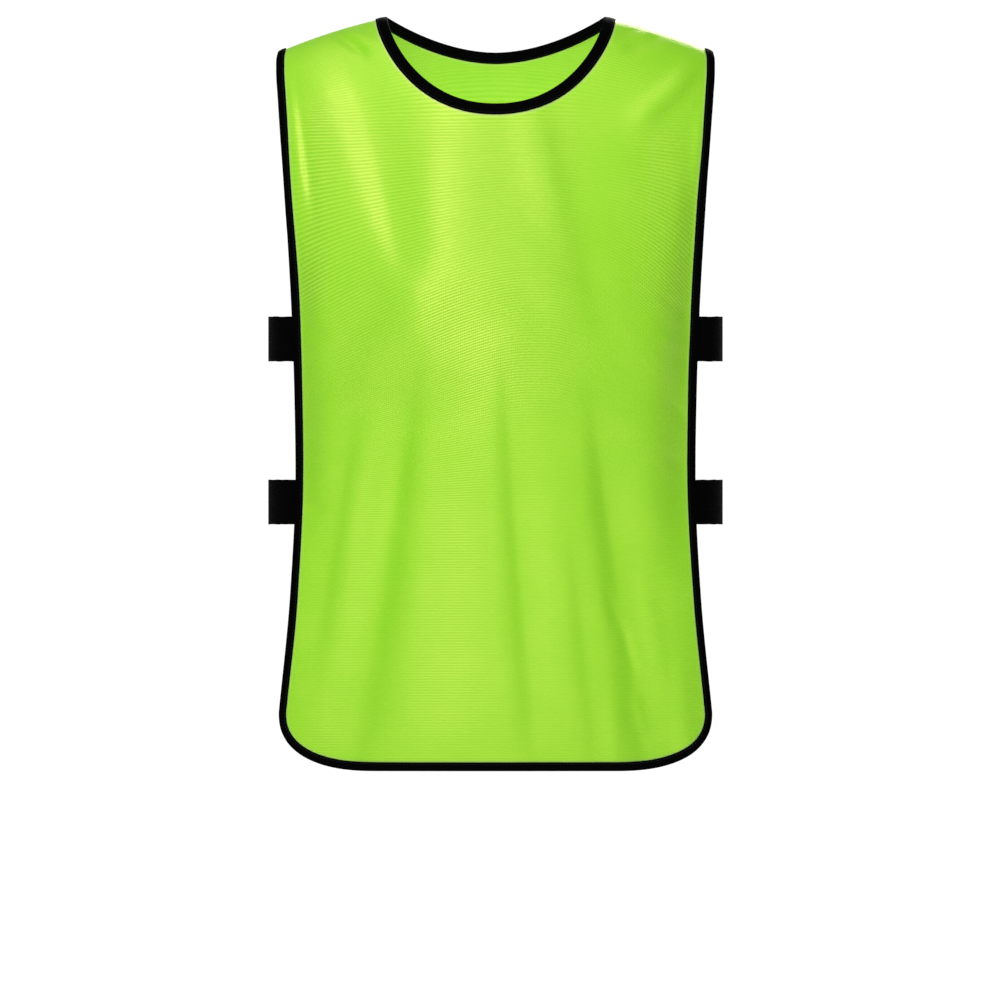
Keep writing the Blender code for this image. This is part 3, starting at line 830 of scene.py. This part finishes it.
@dataclass(frozen=True)
class ThreadFinish(Finish):
    """Sewing thread, with the twist of its plies along each stitch."""

    twist: float = 0.55 * MM
    relief: float = 0.06 * MM
    # Painted highlight along each ply's crest: the gain and the lift of the colour.
    ply_highlight: Pair = (1.5, 0.01)
    ply_share: float = 0.6
    rough_spread: float = 0.2
    gloss: float = 0.4

    def material(self, effects: SharedEffects) -> Material:
        """Build the material from each stitch's own coordinates: along it, and round it."""
        made, graph, shader, weave, mottle = self.start(effects, 80.0, 2500.0)
        x, y, _ = graph.split(weave)
        # Each ply's crest gets a painted highlight, the lighter colour.
        plies = graph.wave(graph.math("ADD", x, y), self.twist)
        gain, lift = self.ply_highlight
        light = tuple(min(1.0, gain * part + lift) for part in self.colour)
        graph.feed_all(
            shader,
            Base_Color=graph.mix(graph.times(plies, self.ply_share), opaque(self.colour), opaque(light)),
            Roughness=self.roughen(graph, mottle["Grain"], self.rough_spread),
            Specular_IOR_Level=self.gloss,
            Normal=self.bump(graph, plies, self.relief),
        )
        return made


NEON_KNIT = KnitFinish("neon_knit", "mesh_cloth", (0.290, 0.800, 0.020), 0.41)
BLACK_TAPE = BandFinish("black_tape_weave", "black_tape", (0.0008, 0.0008, 0.0010), 0.78)
BLACK_ELASTIC = BandFinish(
    "black_elastic_weave", "black_elastic", (0.0010, 0.0010, 0.0012), 0.82, cord=1.5 * MM, pick=0.9 * MM,
    relief=0.25 * MM,
)
BLACK_THREAD = ThreadFinish("black_thread", "black_tape", (0.002, 0.002, 0.0022), 0.60)
GREEN_THREAD = ThreadFinish("green_thread", "mesh_cloth", (0.330, 0.740, 0.050), 0.50)


def put_mesh(
    name: str,
    points: Array,
    quads: Array,
    weave: Array,
    finish: Material,
    masks: dict[str, Array] | None = None,
) -> Object:
    """Make an object of quads at the origin.

    Args:
        name: the piece's name.
        points: its points, one row each.
        quads: four point numbers for each face, turned outwards.
        weave: cloth coordinates in metres for each point, kept as the weave UV map.
        finish: its material.
        masks: further values for each point, by attribute name.
    Returns:
        The object, shaded smooth and linked to the scene.
    """
    mesh = bpy.data.meshes.new(name)
    mesh.vertices.add(len(points))
    mesh.vertices.foreach_set("co", points.astype(np.float32).ravel())
    mesh.loops.add(quads.size)
    mesh.loops.foreach_set("vertex_index", quads.astype(np.int32).ravel())
    mesh.polygons.add(len(quads))
    mesh.polygons.foreach_set("loop_start", np.arange(0, quads.size, 4, dtype=np.int32))
    mesh.update(calc_edges=True)
    layer = mesh.uv_layers.new(name=UV_LAYER)
    layer.data.foreach_set("uv", weave[quads.ravel()].astype(np.float32).ravel())
    for mask, values in (masks or {}).items():
        attribute = mesh.attributes.new(mask, "FLOAT", "POINT")
        attribute.data.foreach_set("value", values.astype(np.float32))
    mesh.validate()
    mesh.shade_smooth()
    mesh.materials.append(finish)
    return link(name, mesh)


def enter(piece: Object, node: str | None = None) -> None:
    """Fix a piece to the root, and hide the solid that it stands for, if any."""
    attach(piece, "root")
    if node:
        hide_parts(node)


def link(name: str, data: bpy.types.ID) -> Object:
    """New object of some data, linked to the scene."""
    made = bpy.data.objects.new(name, data)
    bpy.context.scene.collection.objects.link(made)
    return made


def give_wall(piece: Object, thickness: float, offset: float) -> None:
    """Give an open surface its thickness, about its middle (offset 0) or outwards (offset 1)."""
    wall = piece.modifiers.new("wall", "SOLIDIFY")
    wall.thickness = thickness
    wall.offset = offset
    wall.use_even_offset = True
    wall.use_quality_normals = True


def nearest_distance(points: Array, line: Array) -> Array:
    """Distance from each flat point to the nearest point of a line, in blocks to save memory."""
    blocks = np.array_split(points, max(1, len(points) // 2000))
    return np.concatenate(
        [np.sqrt(((block[:, None] - line[None]) ** 2).sum(axis=2).min(axis=1)) for block in blocks]
    )


@dataclass(frozen=True)
class DrawnSide:
    """How much the courses are drawn out towards one side of the chest, beyond a middle."""

    middle: float
    start: float
    gain: float
    side: float

    def at(self, across: Array) -> Array:
        """Gain times how much longer a triangle's long side is than its height, the start."""
        beyond = np.maximum((across - self.middle) * self.side, 0)
        return self.gain * (np.hypot(beyond, self.start) - self.start)


@dataclass
class MeshPanel:
    """A panel of mesh cloth in three blocks: a shoulder on each side of the neck, over the body.

    Each zone gives the height where the courses start to change and how far below it they have changed.
    """

    name: str
    node: str
    form: PanelForm
    shoulder_columns: int = 44
    shoulder_rows: int = 34
    neck_columns: int = 60
    body_rows: int = 214
    block_share: float = 0.15
    wall: float = CLOTH_WALL
    edge_tape: float = EDGE_TAPE_WIDTH
    neck_tape: float = NECK_TAPE_WIDTH
    fold_room: float = FOLD_ROOM
    cut: Pair = (0.430, 0.715)
    drawn_right: DrawnSide = DrawnSide(0.031, 0.042, 2.7, -1.0)
    drawn_left: DrawnSide = DrawnSide(0.045, 0.060, 5.8, 1.0)
    draw_limit: float = 0.165
    level_zone: Pair = (-0.030, 0.060)
    draw_zone: Pair = (-0.065, 0.235)
    slack_zone: Pair = (-0.300, 0.150)
    least_ribs: float = 0.08
    # Width and strength of the painted highlight beside the edge tape and beside the neck tape.
    highlight_width: float = 1.1 * MM
    edge_highlight: float = 0.45
    neck_highlight: float = 0.75

    def outline(self) -> tuple[Array, Array, Array, Array]:
        """Cut edge and tape line of the outer edge, and the same two of the neck, on the flat cloth."""
        upper = np.linspace(0, self.block_share, self.shoulder_rows + 1)
        lower = np.linspace(self.block_share, 1, self.body_rows + 1)
        columns = 2 * self.shoulder_columns + self.neck_columns
        edge = self.form.edge_run(np.concatenate([upper, lower[1:]]), np.linspace(0, 1, columns + 1))
        neck = self.form.neck_run(np.linspace(0, 1, self.neck_columns + 2 * self.shoulder_rows + 1))
        insets = ((edge, self.edge_tape), (neck, self.neck_tape))
        lines = [self.form.inset(*run, by) for run, tape in insets for by in (self.fold_room, tape)]
        return tuple(np.stack(line, axis=-1) for line in lines)

    def net(self) -> tuple[Array, ...]:
        """Points on the flat cloth, the faces between them, and the lines that the tapes end on.

        Returns:
            The points as x and down, the quads turned outwards, and the edge's and the neck's tape line.
        """
        edge_cut, edge_line, neck_cut, neck_line = self.outline()
        rows, across = self.shoulder_rows, self.shoulder_columns + 1
        side_rows = rows + self.body_rows
        first_side, other_side = edge_line[: side_rows + 1], edge_line[: -side_rows - 2 : -1]
        other_neck, first_neck = neck_line[: rows + 1], neck_line[: -rows - 2 : -1]
        lower_neck = neck_line[rows : rows + self.neck_columns + 1][::-1]
        first_foot = straight(first_side[rows], first_neck[-1], across)
        other_foot = straight(other_neck[-1], other_side[rows], across)
        first_top = straight(first_side[0], first_neck[0], across)
        other_top = straight(other_neck[0], other_side[0], across)
        first = filled_grid(first_top, first_foot, first_side[: rows + 1], first_neck)
        other = filled_grid(other_top, other_foot, other_neck, other_side[: rows + 1])
        top = np.concatenate([first_foot, lower_neck[1:-1], other_foot])
        body = filled_grid(top, edge_line[side_rows:-side_rows], first_side[rows:], other_side[rows:])

        body_ids = numbered(*body.shape[:2])
        own_ids = body_ids.size + numbered(across, rows)
        first_ids = np.concatenate([own_ids, body_ids[:across, :1]], axis=1)
        other_ids = np.concatenate([own_ids + own_ids.size, body_ids[-across:, :1]], axis=1)
        foot_ids = np.concatenate([body_ids[0], body_ids[1:-1, -1], body_ids[-1, ::-1]])
        line_ids = np.concatenate([first_ids[0, :-1], foot_ids, other_ids[-1, -2::-1]])
        under_neck = body_ids[self.shoulder_columns : -self.shoulder_columns, 0][::-1]
        neck_ids = np.concatenate([other_ids[0, :-1], under_neck, first_ids[-1, -2::-1]])
        edge_ids = body_ids.size + 2 * own_ids.size + np.arange(len(edge_cut))
        cut_ids = edge_ids[-1] + 1 + np.arange(len(neck_cut))
        blocks = (body, first[:, :-1], other[:, :-1], edge_cut, neck_cut)
        flat = np.concatenate([block.reshape(-1, 2) for block in blocks])
        strips = (np.stack([edge_ids, line_ids]), np.stack([cut_ids, neck_ids]))
        quads = np.concatenate([grid_quads(number) for number in (body_ids, first_ids, other_ids, *strips)])
        if self.form.facing is Facing.BACK:
            quads = quads[:, ::-1]
        return flat, quads, edge_line, neck_line

    def courses(self, x: Array, down: Array, height: Array) -> Array:
        """Place across the courses: along the shoulder seam, then level, and drawn out beside the chest.

        The draw grows like the long side of a triangle on each side of the middle. Down the cloth it
        rises to its limit at the chest's lower edge, and dies away below it.
        """
        across = x * -self.form.facing.value
        drawn = self.drawn_right.at(across) + self.drawn_left.at(across)
        zones = (self.level_zone, self.draw_zone, self.slack_zone)
        level, tight, slack = (smooth_step((top - height) / length) for top, length in zones)
        return level * self.form.ridge_height(x) - down + self.draw_limit * tight * (1 - slack) * drawn

    def ribs_shown(self, x: Array, height: Array) -> Array:
        """How strongly the courses show: drawn tight on the chest and down the armholes, slack below."""
        across = x * -self.form.facing.value
        patches = RIB_PATCHES.values()
        shown = sum(patch.strength * patch.across.at(across) * patch.height.at(height) for patch in patches)
        return np.clip(self.least_ribs + shown, 0, 1)

    def build(self, finish: Material) -> Object:
        """Make the panel as a thin shell with its weave coordinates and masks."""
        flat, quads, edge_line, neck_line = self.net()
        x, down = flat[:, 0], flat[:, 1]
        points = self.form.surface(x, down)
        height = points[:, 2]
        weave = np.stack([x, self.courses(x, down, height)], axis=-1)
        # Painted highlight: a pale line on the cloth beside the edge tape, stronger beside the neck tape.
        pale = self.edge_highlight * bell(nearest_distance(flat, edge_line), self.highlight_width)
        pale += self.neck_highlight * bell(nearest_distance(flat, neck_line), self.highlight_width)
        masks = {RIB_MASK: self.ribs_shown(x, height), HIGHLIGHT_MASK: pale}
        piece = put_mesh(self.name, points, quads, weave, finish, masks)
        give_wall(piece, self.wall, 0.0)
        enter(piece, self.node)
        LOG.info("%s: %d faces", self.name, len(quads))
        return piece

    def flat_area(self) -> float:
        """Area of the cut cloth, from the lengths of its cells' sides on the worn form."""
        flat, quads, *_ = self.net()
        corners = self.form.surface(flat[:, 0], flat[:, 1])[quads]
        diagonals = np.cross(corners[:, 2] - corners[:, 0], corners[:, 3] - corners[:, 1])
        return float(np.linalg.norm(diagonals, axis=1).sum() / 2)

    def declare(self, piece: Object, sewn_on: list[Object]) -> None:
        """Work out the area of cloth that the panel was cut from; the result is not used."""
        self.flat_area()


@dataclass(frozen=True)
class StitchRow:
    """A row of stitches: a rounded bead of thread at each place along a line."""

    length: float = 2.3 * MM
    pitch: float = 3.0 * MM
    thickness: float = 0.42 * MM
    around: int = 6
    along: int = 4
    taper: float = 0.82
    sink: float = 0.5

    def beads(
        self, centres: Array, forward: Array, normal: Array, first: int
    ) -> tuple[Array, Array, Array]:
        """Beads lying along forward: an ellipse swept along each, narrowing and sinking to its ends.

        Args:
            centres: the middle of each bead.
            forward: the way that each one runs.
            normal: away from the cloth.
            first: the number of the first point.
        Returns:
            The points, the quads and the weave coordinates.
        """
        s = np.linspace(-1, 1, self.along)
        theta = np.linspace(0, math.tau, self.around, endpoint=False)
        size = np.sqrt(1 - (self.taper * np.abs(s)) ** 2) * self.thickness / 2
        side = unit(np.cross(normal, forward))
        axis = centres[:, None] + forward[:, None] * (s * self.length / 2)[None, :, None]
        axis = axis - normal[:, None] * (self.sink * self.thickness * s**2)[None, :, None]
        ring = side[:, None] * np.cos(theta)[None, :, None] + normal[:, None] * np.sin(theta)[None, :, None]
        points = axis[:, :, None] + ring[:, None] * size[None, :, None, None]
        count = len(centres)
        number = numbered(self.along, self.around)
        template = capped_tube(number)[:, ::-1]
        quads = first + template[None] + (number.size * np.arange(count))[:, None, None]
        weave = np.stack(np.broadcast_arrays((s * self.length / 2)[:, None], theta * self.thickness / 2), -1)
        return points.reshape(-1, 3), quads.reshape(-1, 4), np.tile(weave.reshape(-1, 2), (count, 1))

    def places(self, line: Array, normals: Array, closed: bool) -> tuple[Array, ...]:
        """Middles, directions and normals of the stitches along a line, a pitch apart.

        Args:
            line: points along the seam.
            normals: the outward normal at each.
            closed: whether the line joins its own start.
        Returns:
            The centres, the forward directions and the normals.
        """
        if closed:
            line = np.concatenate([line, line[:1]])
            normals = np.concatenate([normals, normals[:1]])
        length = travelled(line)
        count = int(length[-1] / self.pitch)
        at = (np.arange(count) + 0.5) * length[-1] / count
        behind, centre, ahead = (read_at(at + step * self.pitch / 4, length, line) for step in (-1, 0, 1))
        return centre, unit(ahead - behind), unit(read_at(at, length, normals))


def sew(
    name: str, row: StitchRow, runs: list[tuple[Array, ...]], finish: Material
) -> Object:
    """One piece of all the stitches of some rows."""
    points, quads, weave, first = [], [], [], 0
    for centres, forward, normal in runs:
        made = row.beads(centres, forward, normal, first)
        first += len(made[0])
        for whole, part in zip((points, quads, weave), made):
            whole.append(part)
    arrays = (np.concatenate(points), np.concatenate(quads), np.concatenate(weave))
    piece = put_mesh(name, *arrays, finish)
    enter(piece)
    LOG.info("%s: %d stitches", name, sum(len(run[0]) for run in runs))
    return piece


@dataclass
class FoldedTape:
    """Tape folded over a raw edge of both panels: two legs and a round fold, in one closed ring."""

    name: str
    node: str
    width: float
    cut: Pair
    steps: int
    is_neck: bool = False
    cloth_wall: float = CLOTH_WALL
    gap: float = 0.30 * MM
    wall: float = 0.85 * MM
    fold_room: float = FOLD_ROOM
    crown: float = 0.35 * MM
    leg_points: int = 6
    fold_points: int = 5
    stitch_inset: float = 1.6 * MM

    def ring(self) -> tuple[Array, Array, Array]:
        """The tape's path: where its legs end, the way from there to the cloth's edge, and square to both.

        The front's run and the back's run meet on both shoulder ridges, where they share a point.
        """
        runs = []
        for form in (FRONT_FORM, BACK_FORM):
            if self.is_neck:
                run = form.neck_run(np.linspace(0, 1, self.steps))
            else:
                run = form.edge_run(np.linspace(0, 1, self.steps), np.linspace(0, 1, self.steps // 2))
            edge = form.surface(*form.inset(*run, self.fold_room))
            leg = form.inset(*run, self.width)
            runs.append((edge, form.surface(*leg), form.outward(*leg)))
        joined = []
        for front, back in zip(*runs):
            ends = (front[0] + back[0]) / 2, (front[-1] + back[-1]) / 2
            joined.append(np.concatenate([[ends[0]], front[1:-1], [ends[1]], back[-2:0:-1]]))
        edge, line, normal = joined
        over = unit(edge - line)
        return line, over, unit(normal - over * np.sum(normal * over, axis=1, keepdims=True))

    def section(self) -> tuple[Array, Array, Array]:
        """Section of the tape's inner face: how far over, how far off the cloth, and its own length.

        The legs bulge by a squared sine, and between them the tape goes round half a circle past the edge.
        """
        off = self.cloth_wall / 2 + self.gap
        leg = np.linspace(0, 1, self.leg_points)
        lift = off + self.crown * np.sin(math.pi * leg) ** 2
        turn = np.linspace(math.pi / 2, -math.pi / 2, self.fold_points + 2)[1:-1]
        reach = self.width - self.fold_room
        out = np.concatenate([leg * reach, reach + off * np.cos(turn), leg[::-1] * reach])
        up = np.concatenate([lift, off * np.sin(turn), -lift[::-1]])
        return out, up, travelled(np.stack([out, up], axis=-1))

    def build(self, finish: Material) -> Object:
        """Make the tape: its section carried round its path."""
        line, over, normal = self.ring()
        out, up, along = self.section()
        points = line[:, None] + over[:, None] * out[None, :, None] + normal[:, None] * up[None, :, None]
        number = numbered(*points.shape[:2])
        quads = grid_quads(np.concatenate([number, number[:1]]))
        travel = travelled(line)
        weave = np.stack(np.broadcast_arrays(travel[:, None], along[None]), axis=-1).reshape(-1, 2)
        piece = put_mesh(self.name, points.reshape(-1, 3), quads, weave, finish)
        give_wall(piece, self.wall, 1.0)
        enter(piece, self.node)
        LOG.info("%s: %.2f m round", self.name, travel[-1])
        return piece

    def stitches(self, finish: Material) -> Object:
        """Lockstitch along both legs of the tape, just inside its free edges."""
        line, over, normal = self.ring()
        lift = self.cloth_wall / 2 + self.gap + self.wall + self.crown / 2
        row = StitchRow()
        runs = []
        for side in (1.0, -1.0):
            seam = line + over * self.stitch_inset + side * normal * lift
            runs.append(row.places(seam, side * normal, closed=True))
        return sew(f"{self.name}_stitches", row, runs, finish)


@dataclass
class SideStrap:
    """Elastic strap from behind the front's edge round to behind the back's."""

    name: str
    side: float
    height: float
    width: float = 40.5 * MM
    reach: float = 0.2045
    wall: float = 1.3 * MM
    lap: float = 15.0 * MM
    clearance: float = 2.95 * MM
    rows: int = 24
    lap_points: int = 12
    arc_points: int = 34
    scallop: float = 0.15 * MM
    scallop_from: float = 0.40
    ripples: Pair = (3.1 * MM, 7.3 * MM)
    second_ripple: float = 0.6
    phase: float = 40.0
    end_room: float = 0.3 * MM
    tack_columns: tuple[int, ...] = (4, 8, -5, -9)
    tack_lift: float = 0.05 * MM

    def end(self, form: PanelForm, heights: Array) -> tuple[Array, Array]:
        """The lap behind a panel's edge, from its cut end out to the edge, and its way out of there."""
        outline = through_rows(SIDE_OUTLINE, "half_width", heights)
        inside = np.linspace(self.lap, self.end_room, self.lap_points)
        x = self.side * (outline[:, None] - inside[None])
        down = form.down_at(x, heights[:, None])
        points = form.surface(x, down) - form.outward(x, down) * self.clearance
        points[..., 2] = heights[:, None]
        return points, unit(points[:, -1] - points[:, -3])

    def arc(self, start: Array, way: Array, peak: Array) -> Array:
        """Cubic from the lap to where the strap reaches furthest out and runs straight back."""
        t = np.linspace(0, 1, self.arc_points + 1)[None, 1:, None]
        length = np.linalg.norm(peak - start, axis=1)[:, None, None]
        back = np.zeros_like(way)
        back[:, 1] = np.sign(peak[:, 1] - start[:, 1])
        return cubic(t, start[:, None], peak[:, None], length * way[:, None], length * back[:, None])

    def middle(self) -> Array:
        """Grid of the strap's middle: rows across its width, columns along it."""
        heights = self.height + np.linspace(-0.5, 0.5, self.rows) * self.width
        front, front_way = self.end(FRONT_FORM, heights)
        back, back_way = self.end(BACK_FORM, heights)
        peak = (front[:, -1] + back[:, -1]) / 2
        peak[:, 0] = self.side * (self.reach - self.wall / 2)
        out = self.arc(front[:, -1], front_way, peak)
        home = self.arc(back[:, -1], back_way, peak)[:, -2::-1]
        return np.concatenate([front, out, home, back[:, ::-1]], axis=1)

    def build(self, finish: Material) -> Object:
        """Make the strap with softly uneven edges, as a stretched elastic has.

        The edges follow the sum of two sines along the strap, less its peak, so that they only dip inwards.
        """
        points = self.middle()
        travel = travelled(points[self.rows // 2])
        across = np.linspace(-0.5, 0.5, self.rows)
        edge = smooth_step((np.abs(across) - self.scallop_from) / (0.5 - self.scallop_from)) * np.sign(across)
        short, long = self.ripples
        ripple = self.second_ripple * np.sin(travel / long + self.height * self.phase)
        ripple += np.sin(travel / short)
        points[..., 2] += self.scallop * edge[:, None] * (ripple[None] - 1 - self.second_ripple)
        quads = grid_quads(numbered(*points.shape[:2]))
        if self.side < 0:
            quads = quads[:, ::-1]
        broad = np.broadcast_arrays(travel[None], (across * self.width)[:, None])
        weave = np.stack(broad, axis=-1).reshape(-1, 2)
        piece = put_mesh(self.name + "_elastic", points.reshape(-1, 3), quads, weave, finish)
        give_wall(piece, self.wall, 0.0)
        enter(piece, self.name)
        self.length = float(travel[-1])
        LOG.info("%s: %.3f m long", self.name, travel[-1])
        return piece

    def tacks(self, finish: Material) -> Object:
        """Two rows of stitches through each lap, on its inner face."""
        points = self.middle()
        row = StitchRow(length=1.9 * MM, pitch=2.2 * MM)
        runs = []
        across = unit(points[-1, :] - points[0, :])
        trim = slice(1, -1)
        for column in self.tack_columns:
            along = unit(points[:, column + int(math.copysign(1, column))] - points[:, column])
            inward = unit(np.cross(np.broadcast_to(across[column], along.shape), along))
            inward = inward * np.where(inward[:, :1] * self.side > 0, -1.0, 1.0)
            seam = points[:, column] + inward * (self.wall / 2 + self.tack_lift)
            runs.append(row.places(seam[trim], inward[trim], closed=False))
        return sew(f"{self.name}_tacks", row, runs, finish)

    def declare(self, piece: Object, tacks: Object) -> None:
        """Do nothing with the strap or its tacks."""


@dataclass
class ShoulderSeam:
    """The seam over one shoulder: thread ladders across the join, over a rolled allowance inside."""

    name: str
    side: float
    spread: float = 3.4 * MM
    lift: float = 0.62 * MM
    allowance: float = 1.5 * MM
    drop: float = 2.15 * MM
    neck_room: float = 9.6 * MM
    tip_room: float = 8.2 * MM
    ladder_points: int = 160
    roll_points: int = 90
    roll_around: int = 14
    roll_flat: float = 0.55
    roll_ripple: float = 0.08
    ripple_length: float = 2.2 * MM
    roll_ribs: float = 0.3

    def ridge(self, count: int) -> Array:
        """Points along the shoulder ridge between the two tapes."""
        start = FRONT_FORM.neck_half_width + self.neck_room
        end = SIDE_OUTLINE[-1].half_width - self.tip_room
        x = np.linspace(start, end, count)
        return np.stack([self.side * x, np.zeros(count), FRONT_FORM.ridge_height(x)], axis=-1)

    def ladder(self, finish: Material) -> Object:
        """Threads that cross the join, one close beside the next."""
        line = self.ridge(self.ladder_points)
        forward = np.array([0.0, -1.0, 0.0])
        normal = unit(np.cross(forward, unit(np.gradient(line, axis=0))))
        normal = normal * np.sign(normal[:, 2:])
        cross = StitchRow(length=self.spread, pitch=1.9 * MM, thickness=0.36 * MM)
        centres, _, up = cross.places(line + normal * self.lift, normal, closed=False)
        ladder = (centres, np.broadcast_to(forward, centres.shape), up)
        return sew(f"{self.name}_ladder", cross, [ladder], finish)

    def rolled(self, finish: Material) -> Object:
        """The seam allowance inside, a flattened roll of cloth under the ridge."""
        line = self.ridge(self.roll_points)
        theta = np.linspace(0, math.tau, self.roll_around, endpoint=False)
        half_width = self.allowance * (1 + self.roll_ripple * np.sin(line[:, :1] / self.ripple_length))
        wide = half_width * np.cos(theta)
        tall = self.roll_flat * half_width * np.sin(theta) - self.drop
        points = line[:, None] + np.stack([np.zeros_like(wide), wide, tall], axis=-1)
        number = numbered(self.roll_points, self.roll_around)
        quads = capped_tube(number)
        travel = np.abs(line[:, 0] - line[0, 0])
        weave = np.stack(np.broadcast_arrays(travel[:, None], theta * self.allowance), axis=-1)
        if self.side > 0:
            quads = quads[:, ::-1]
        masks = {RIB_MASK: np.full(number.size, self.roll_ribs), HIGHLIGHT_MASK: np.zeros(number.size)}
        name = f"{self.name}_allowance"
        piece = put_mesh(name, points.reshape(-1, 3), quads, weave.reshape(-1, 2), finish, masks)
        enter(piece)
        return piece


@dataclass(frozen=True)
class Lamp:
    """Soft light of a width and a height at a place, turned to a target, the chest where none is given."""

    name: str
    place: Triple
    size: Pair
    power: float
    target: Triple = (0.0, 0.0, -0.30)

    def build(self) -> None:
        """Hang the lamp, unseen itself."""
        data = bpy.data.lights.new(self.name, "AREA")
        data.shape = "RECTANGLE"
        data.size, data.size_y = self.size
        data.energy = self.power
        made = link(self.name, data)
        made.location = self.place
        made.visible_camera = False
        x, y, z = np.array(self.place) - np.array(self.target)
        made.rotation_euler = (math.atan2(math.hypot(x, y), z), 0.0, math.atan2(x, -y))


LAMPS = (
    Lamp("key", (-0.51, -2.42, 1.01), (0.70, 0.5), 22.5),
    Lamp("bar", (-0.25, -0.86, 1.95), (2.0, 0.5), 11.5),
    Lamp("back", (0.5, 2.42, 1.01), (0.9, 0.6), 40.0),
    Lamp("inner", (0.0, -0.02, -0.19), (0.16, 0.05), 0.08, (0.0, 0.05, -0.05)),
)


@dataclass
class Studio:
    """Pale floor, soft light and the photograph's square, level, long view."""

    pixel: float = 0.9 * MM
    frame_pixels: int = 1000
    middle_pixel: float = 495.5
    top_pixel: float = 30.0
    distance: float = 40.0
    sensor: float = 36.0
    far: float = 200.0
    floor_height: float = -1.45
    floor_half: float = 12.0
    floor_grey: float = 0.90
    floor_roughness: float = 0.8
    floor_glow: float = 0.20
    bright_way: Triple = (-0.12, -0.98, 0.12)
    ambient: float = 0.06
    frontal: float = 0.92
    seen_white: float = 1.04

    def camera(self) -> None:
        """Level camera in front of the bib, so far off that its view is nearly parallel."""
        across = self.pixel * self.frame_pixels
        data = bpy.data.cameras.new("camera")
        data.sensor_width = self.sensor
        data.lens = self.sensor * self.distance / across
        data.clip_end = self.far
        made = link("camera", data)
        x = (self.frame_pixels / 2 - self.middle_pixel) * self.pixel
        z = (self.top_pixel - self.frame_pixels / 2) * self.pixel
        made.location = (x, -self.distance, z)
        made.rotation_euler = (math.pi / 2, 0.0, 0.0)
        bpy.context.scene.camera = made

    def backdrop(self) -> None:
        """Surroundings that the camera sees as white, and the cloth as soft light from front and back."""
        world = bpy.data.worlds.new("studio")
        world.use_nodes = True
        graph = Graph(world.node_tree)
        shader = world.node_tree.nodes["Background"]
        seen = graph.node("ShaderNodeLightPath").outputs["Is Camera Ray"]
        way = graph.node("ShaderNodeTexCoord").outputs["Generated"]
        turned = graph.node("ShaderNodeVectorMath", operation="DOT_PRODUCT")
        for socket, value in zip(turned.inputs, (way, self.bright_way)):
            graph.feed(socket, value)
        frontal = graph.math("POWER", graph.math("ABSOLUTE", turned.outputs["Value"]), 2.0)
        unseen = graph.times(graph.rest(seen), graph.scaled(frontal, self.frontal, self.ambient))
        graph.feed_all(shader, Strength=graph.scaled(seen, self.seen_white, unseen), Color=WHITE)
        bpy.context.scene.world = world

    def floor(self) -> None:
        """Plain pale floor at the height where the wearer would stand."""
        corner = self.floor_half * np.array([[-1.0, -1.0], [1.0, -1.0], [1.0, 1.0], [-1.0, 1.0]])
        points = np.concatenate([corner, np.full((4, 1), self.floor_height)], axis=1)
        finish = bpy.data.materials.new("studio_floor")
        finish.use_nodes = True
        Graph(finish.node_tree).feed_all(
            finish.node_tree.nodes["Principled BSDF"],
            Base_Color=opaque((self.floor_grey,) * 3),
            Roughness=self.floor_roughness,
            Emission_Color=WHITE,
            Emission_Strength=self.floor_glow,
        )
        put_mesh("studio_floor", points, np.array([[0, 1, 2, 3]]), corner, finish)

    def build(self) -> None:
        """Set up the view, the light and the floor."""
        bpy.context.scene.view_settings.view_transform = "Standard"
        self.camera()
        for lamp in LAMPS:
            lamp.build()
        self.backdrop()
        self.floor()


def main() -> None:
    """Build the bib piece by piece, and then the studio round it."""
    logging.basicConfig(level=logging.INFO, format="%(name)s: %(message)s")
    effects = SharedEffects()
    finishes = (NEON_KNIT, BLACK_TAPE, BLACK_ELASTIC, BLACK_THREAD, GREEN_THREAD)
    knit, tape, elastic, black_thread, green_thread = (finish.material(effects) for finish in finishes)

    front = MeshPanel("front_cloth", "front_panel", FRONT_FORM)
    back = MeshPanel("back_cloth", "back_panel", BACK_FORM)
    front_cloth, back_cloth = front.build(knit), back.build(knit)

    seams = []
    for name, side in SIDES:
        seam = ShoulderSeam(f"shoulder_seam_{name}", side)
        seams += [seam.ladder(green_thread), seam.rolled(knit)]
    front.declare(front_cloth, seams)
    back.declare(back_cloth, [])

    edge = FoldedTape("edge_tape", "edge_binding", EDGE_TAPE_WIDTH, (0.019, 3.42), 230)
    neck = FoldedTape("neck_tape", "neck_binding", NECK_TAPE_WIDTH, (0.023, 0.56), 150, is_neck=True)
    for band in (edge, neck):
        piece = band.build(tape)
        sewing = band.stitches(black_thread)

    for name, side in SIDES:
        for place, height in STRAP_ROWS:
            strap = SideStrap(f"strap_{name}_{place}", side, height)
            piece = strap.build(elastic)
            strap.declare(piece, strap.tacks(black_thread))

    Studio().build()


if __name__ == "__main__":
    main()
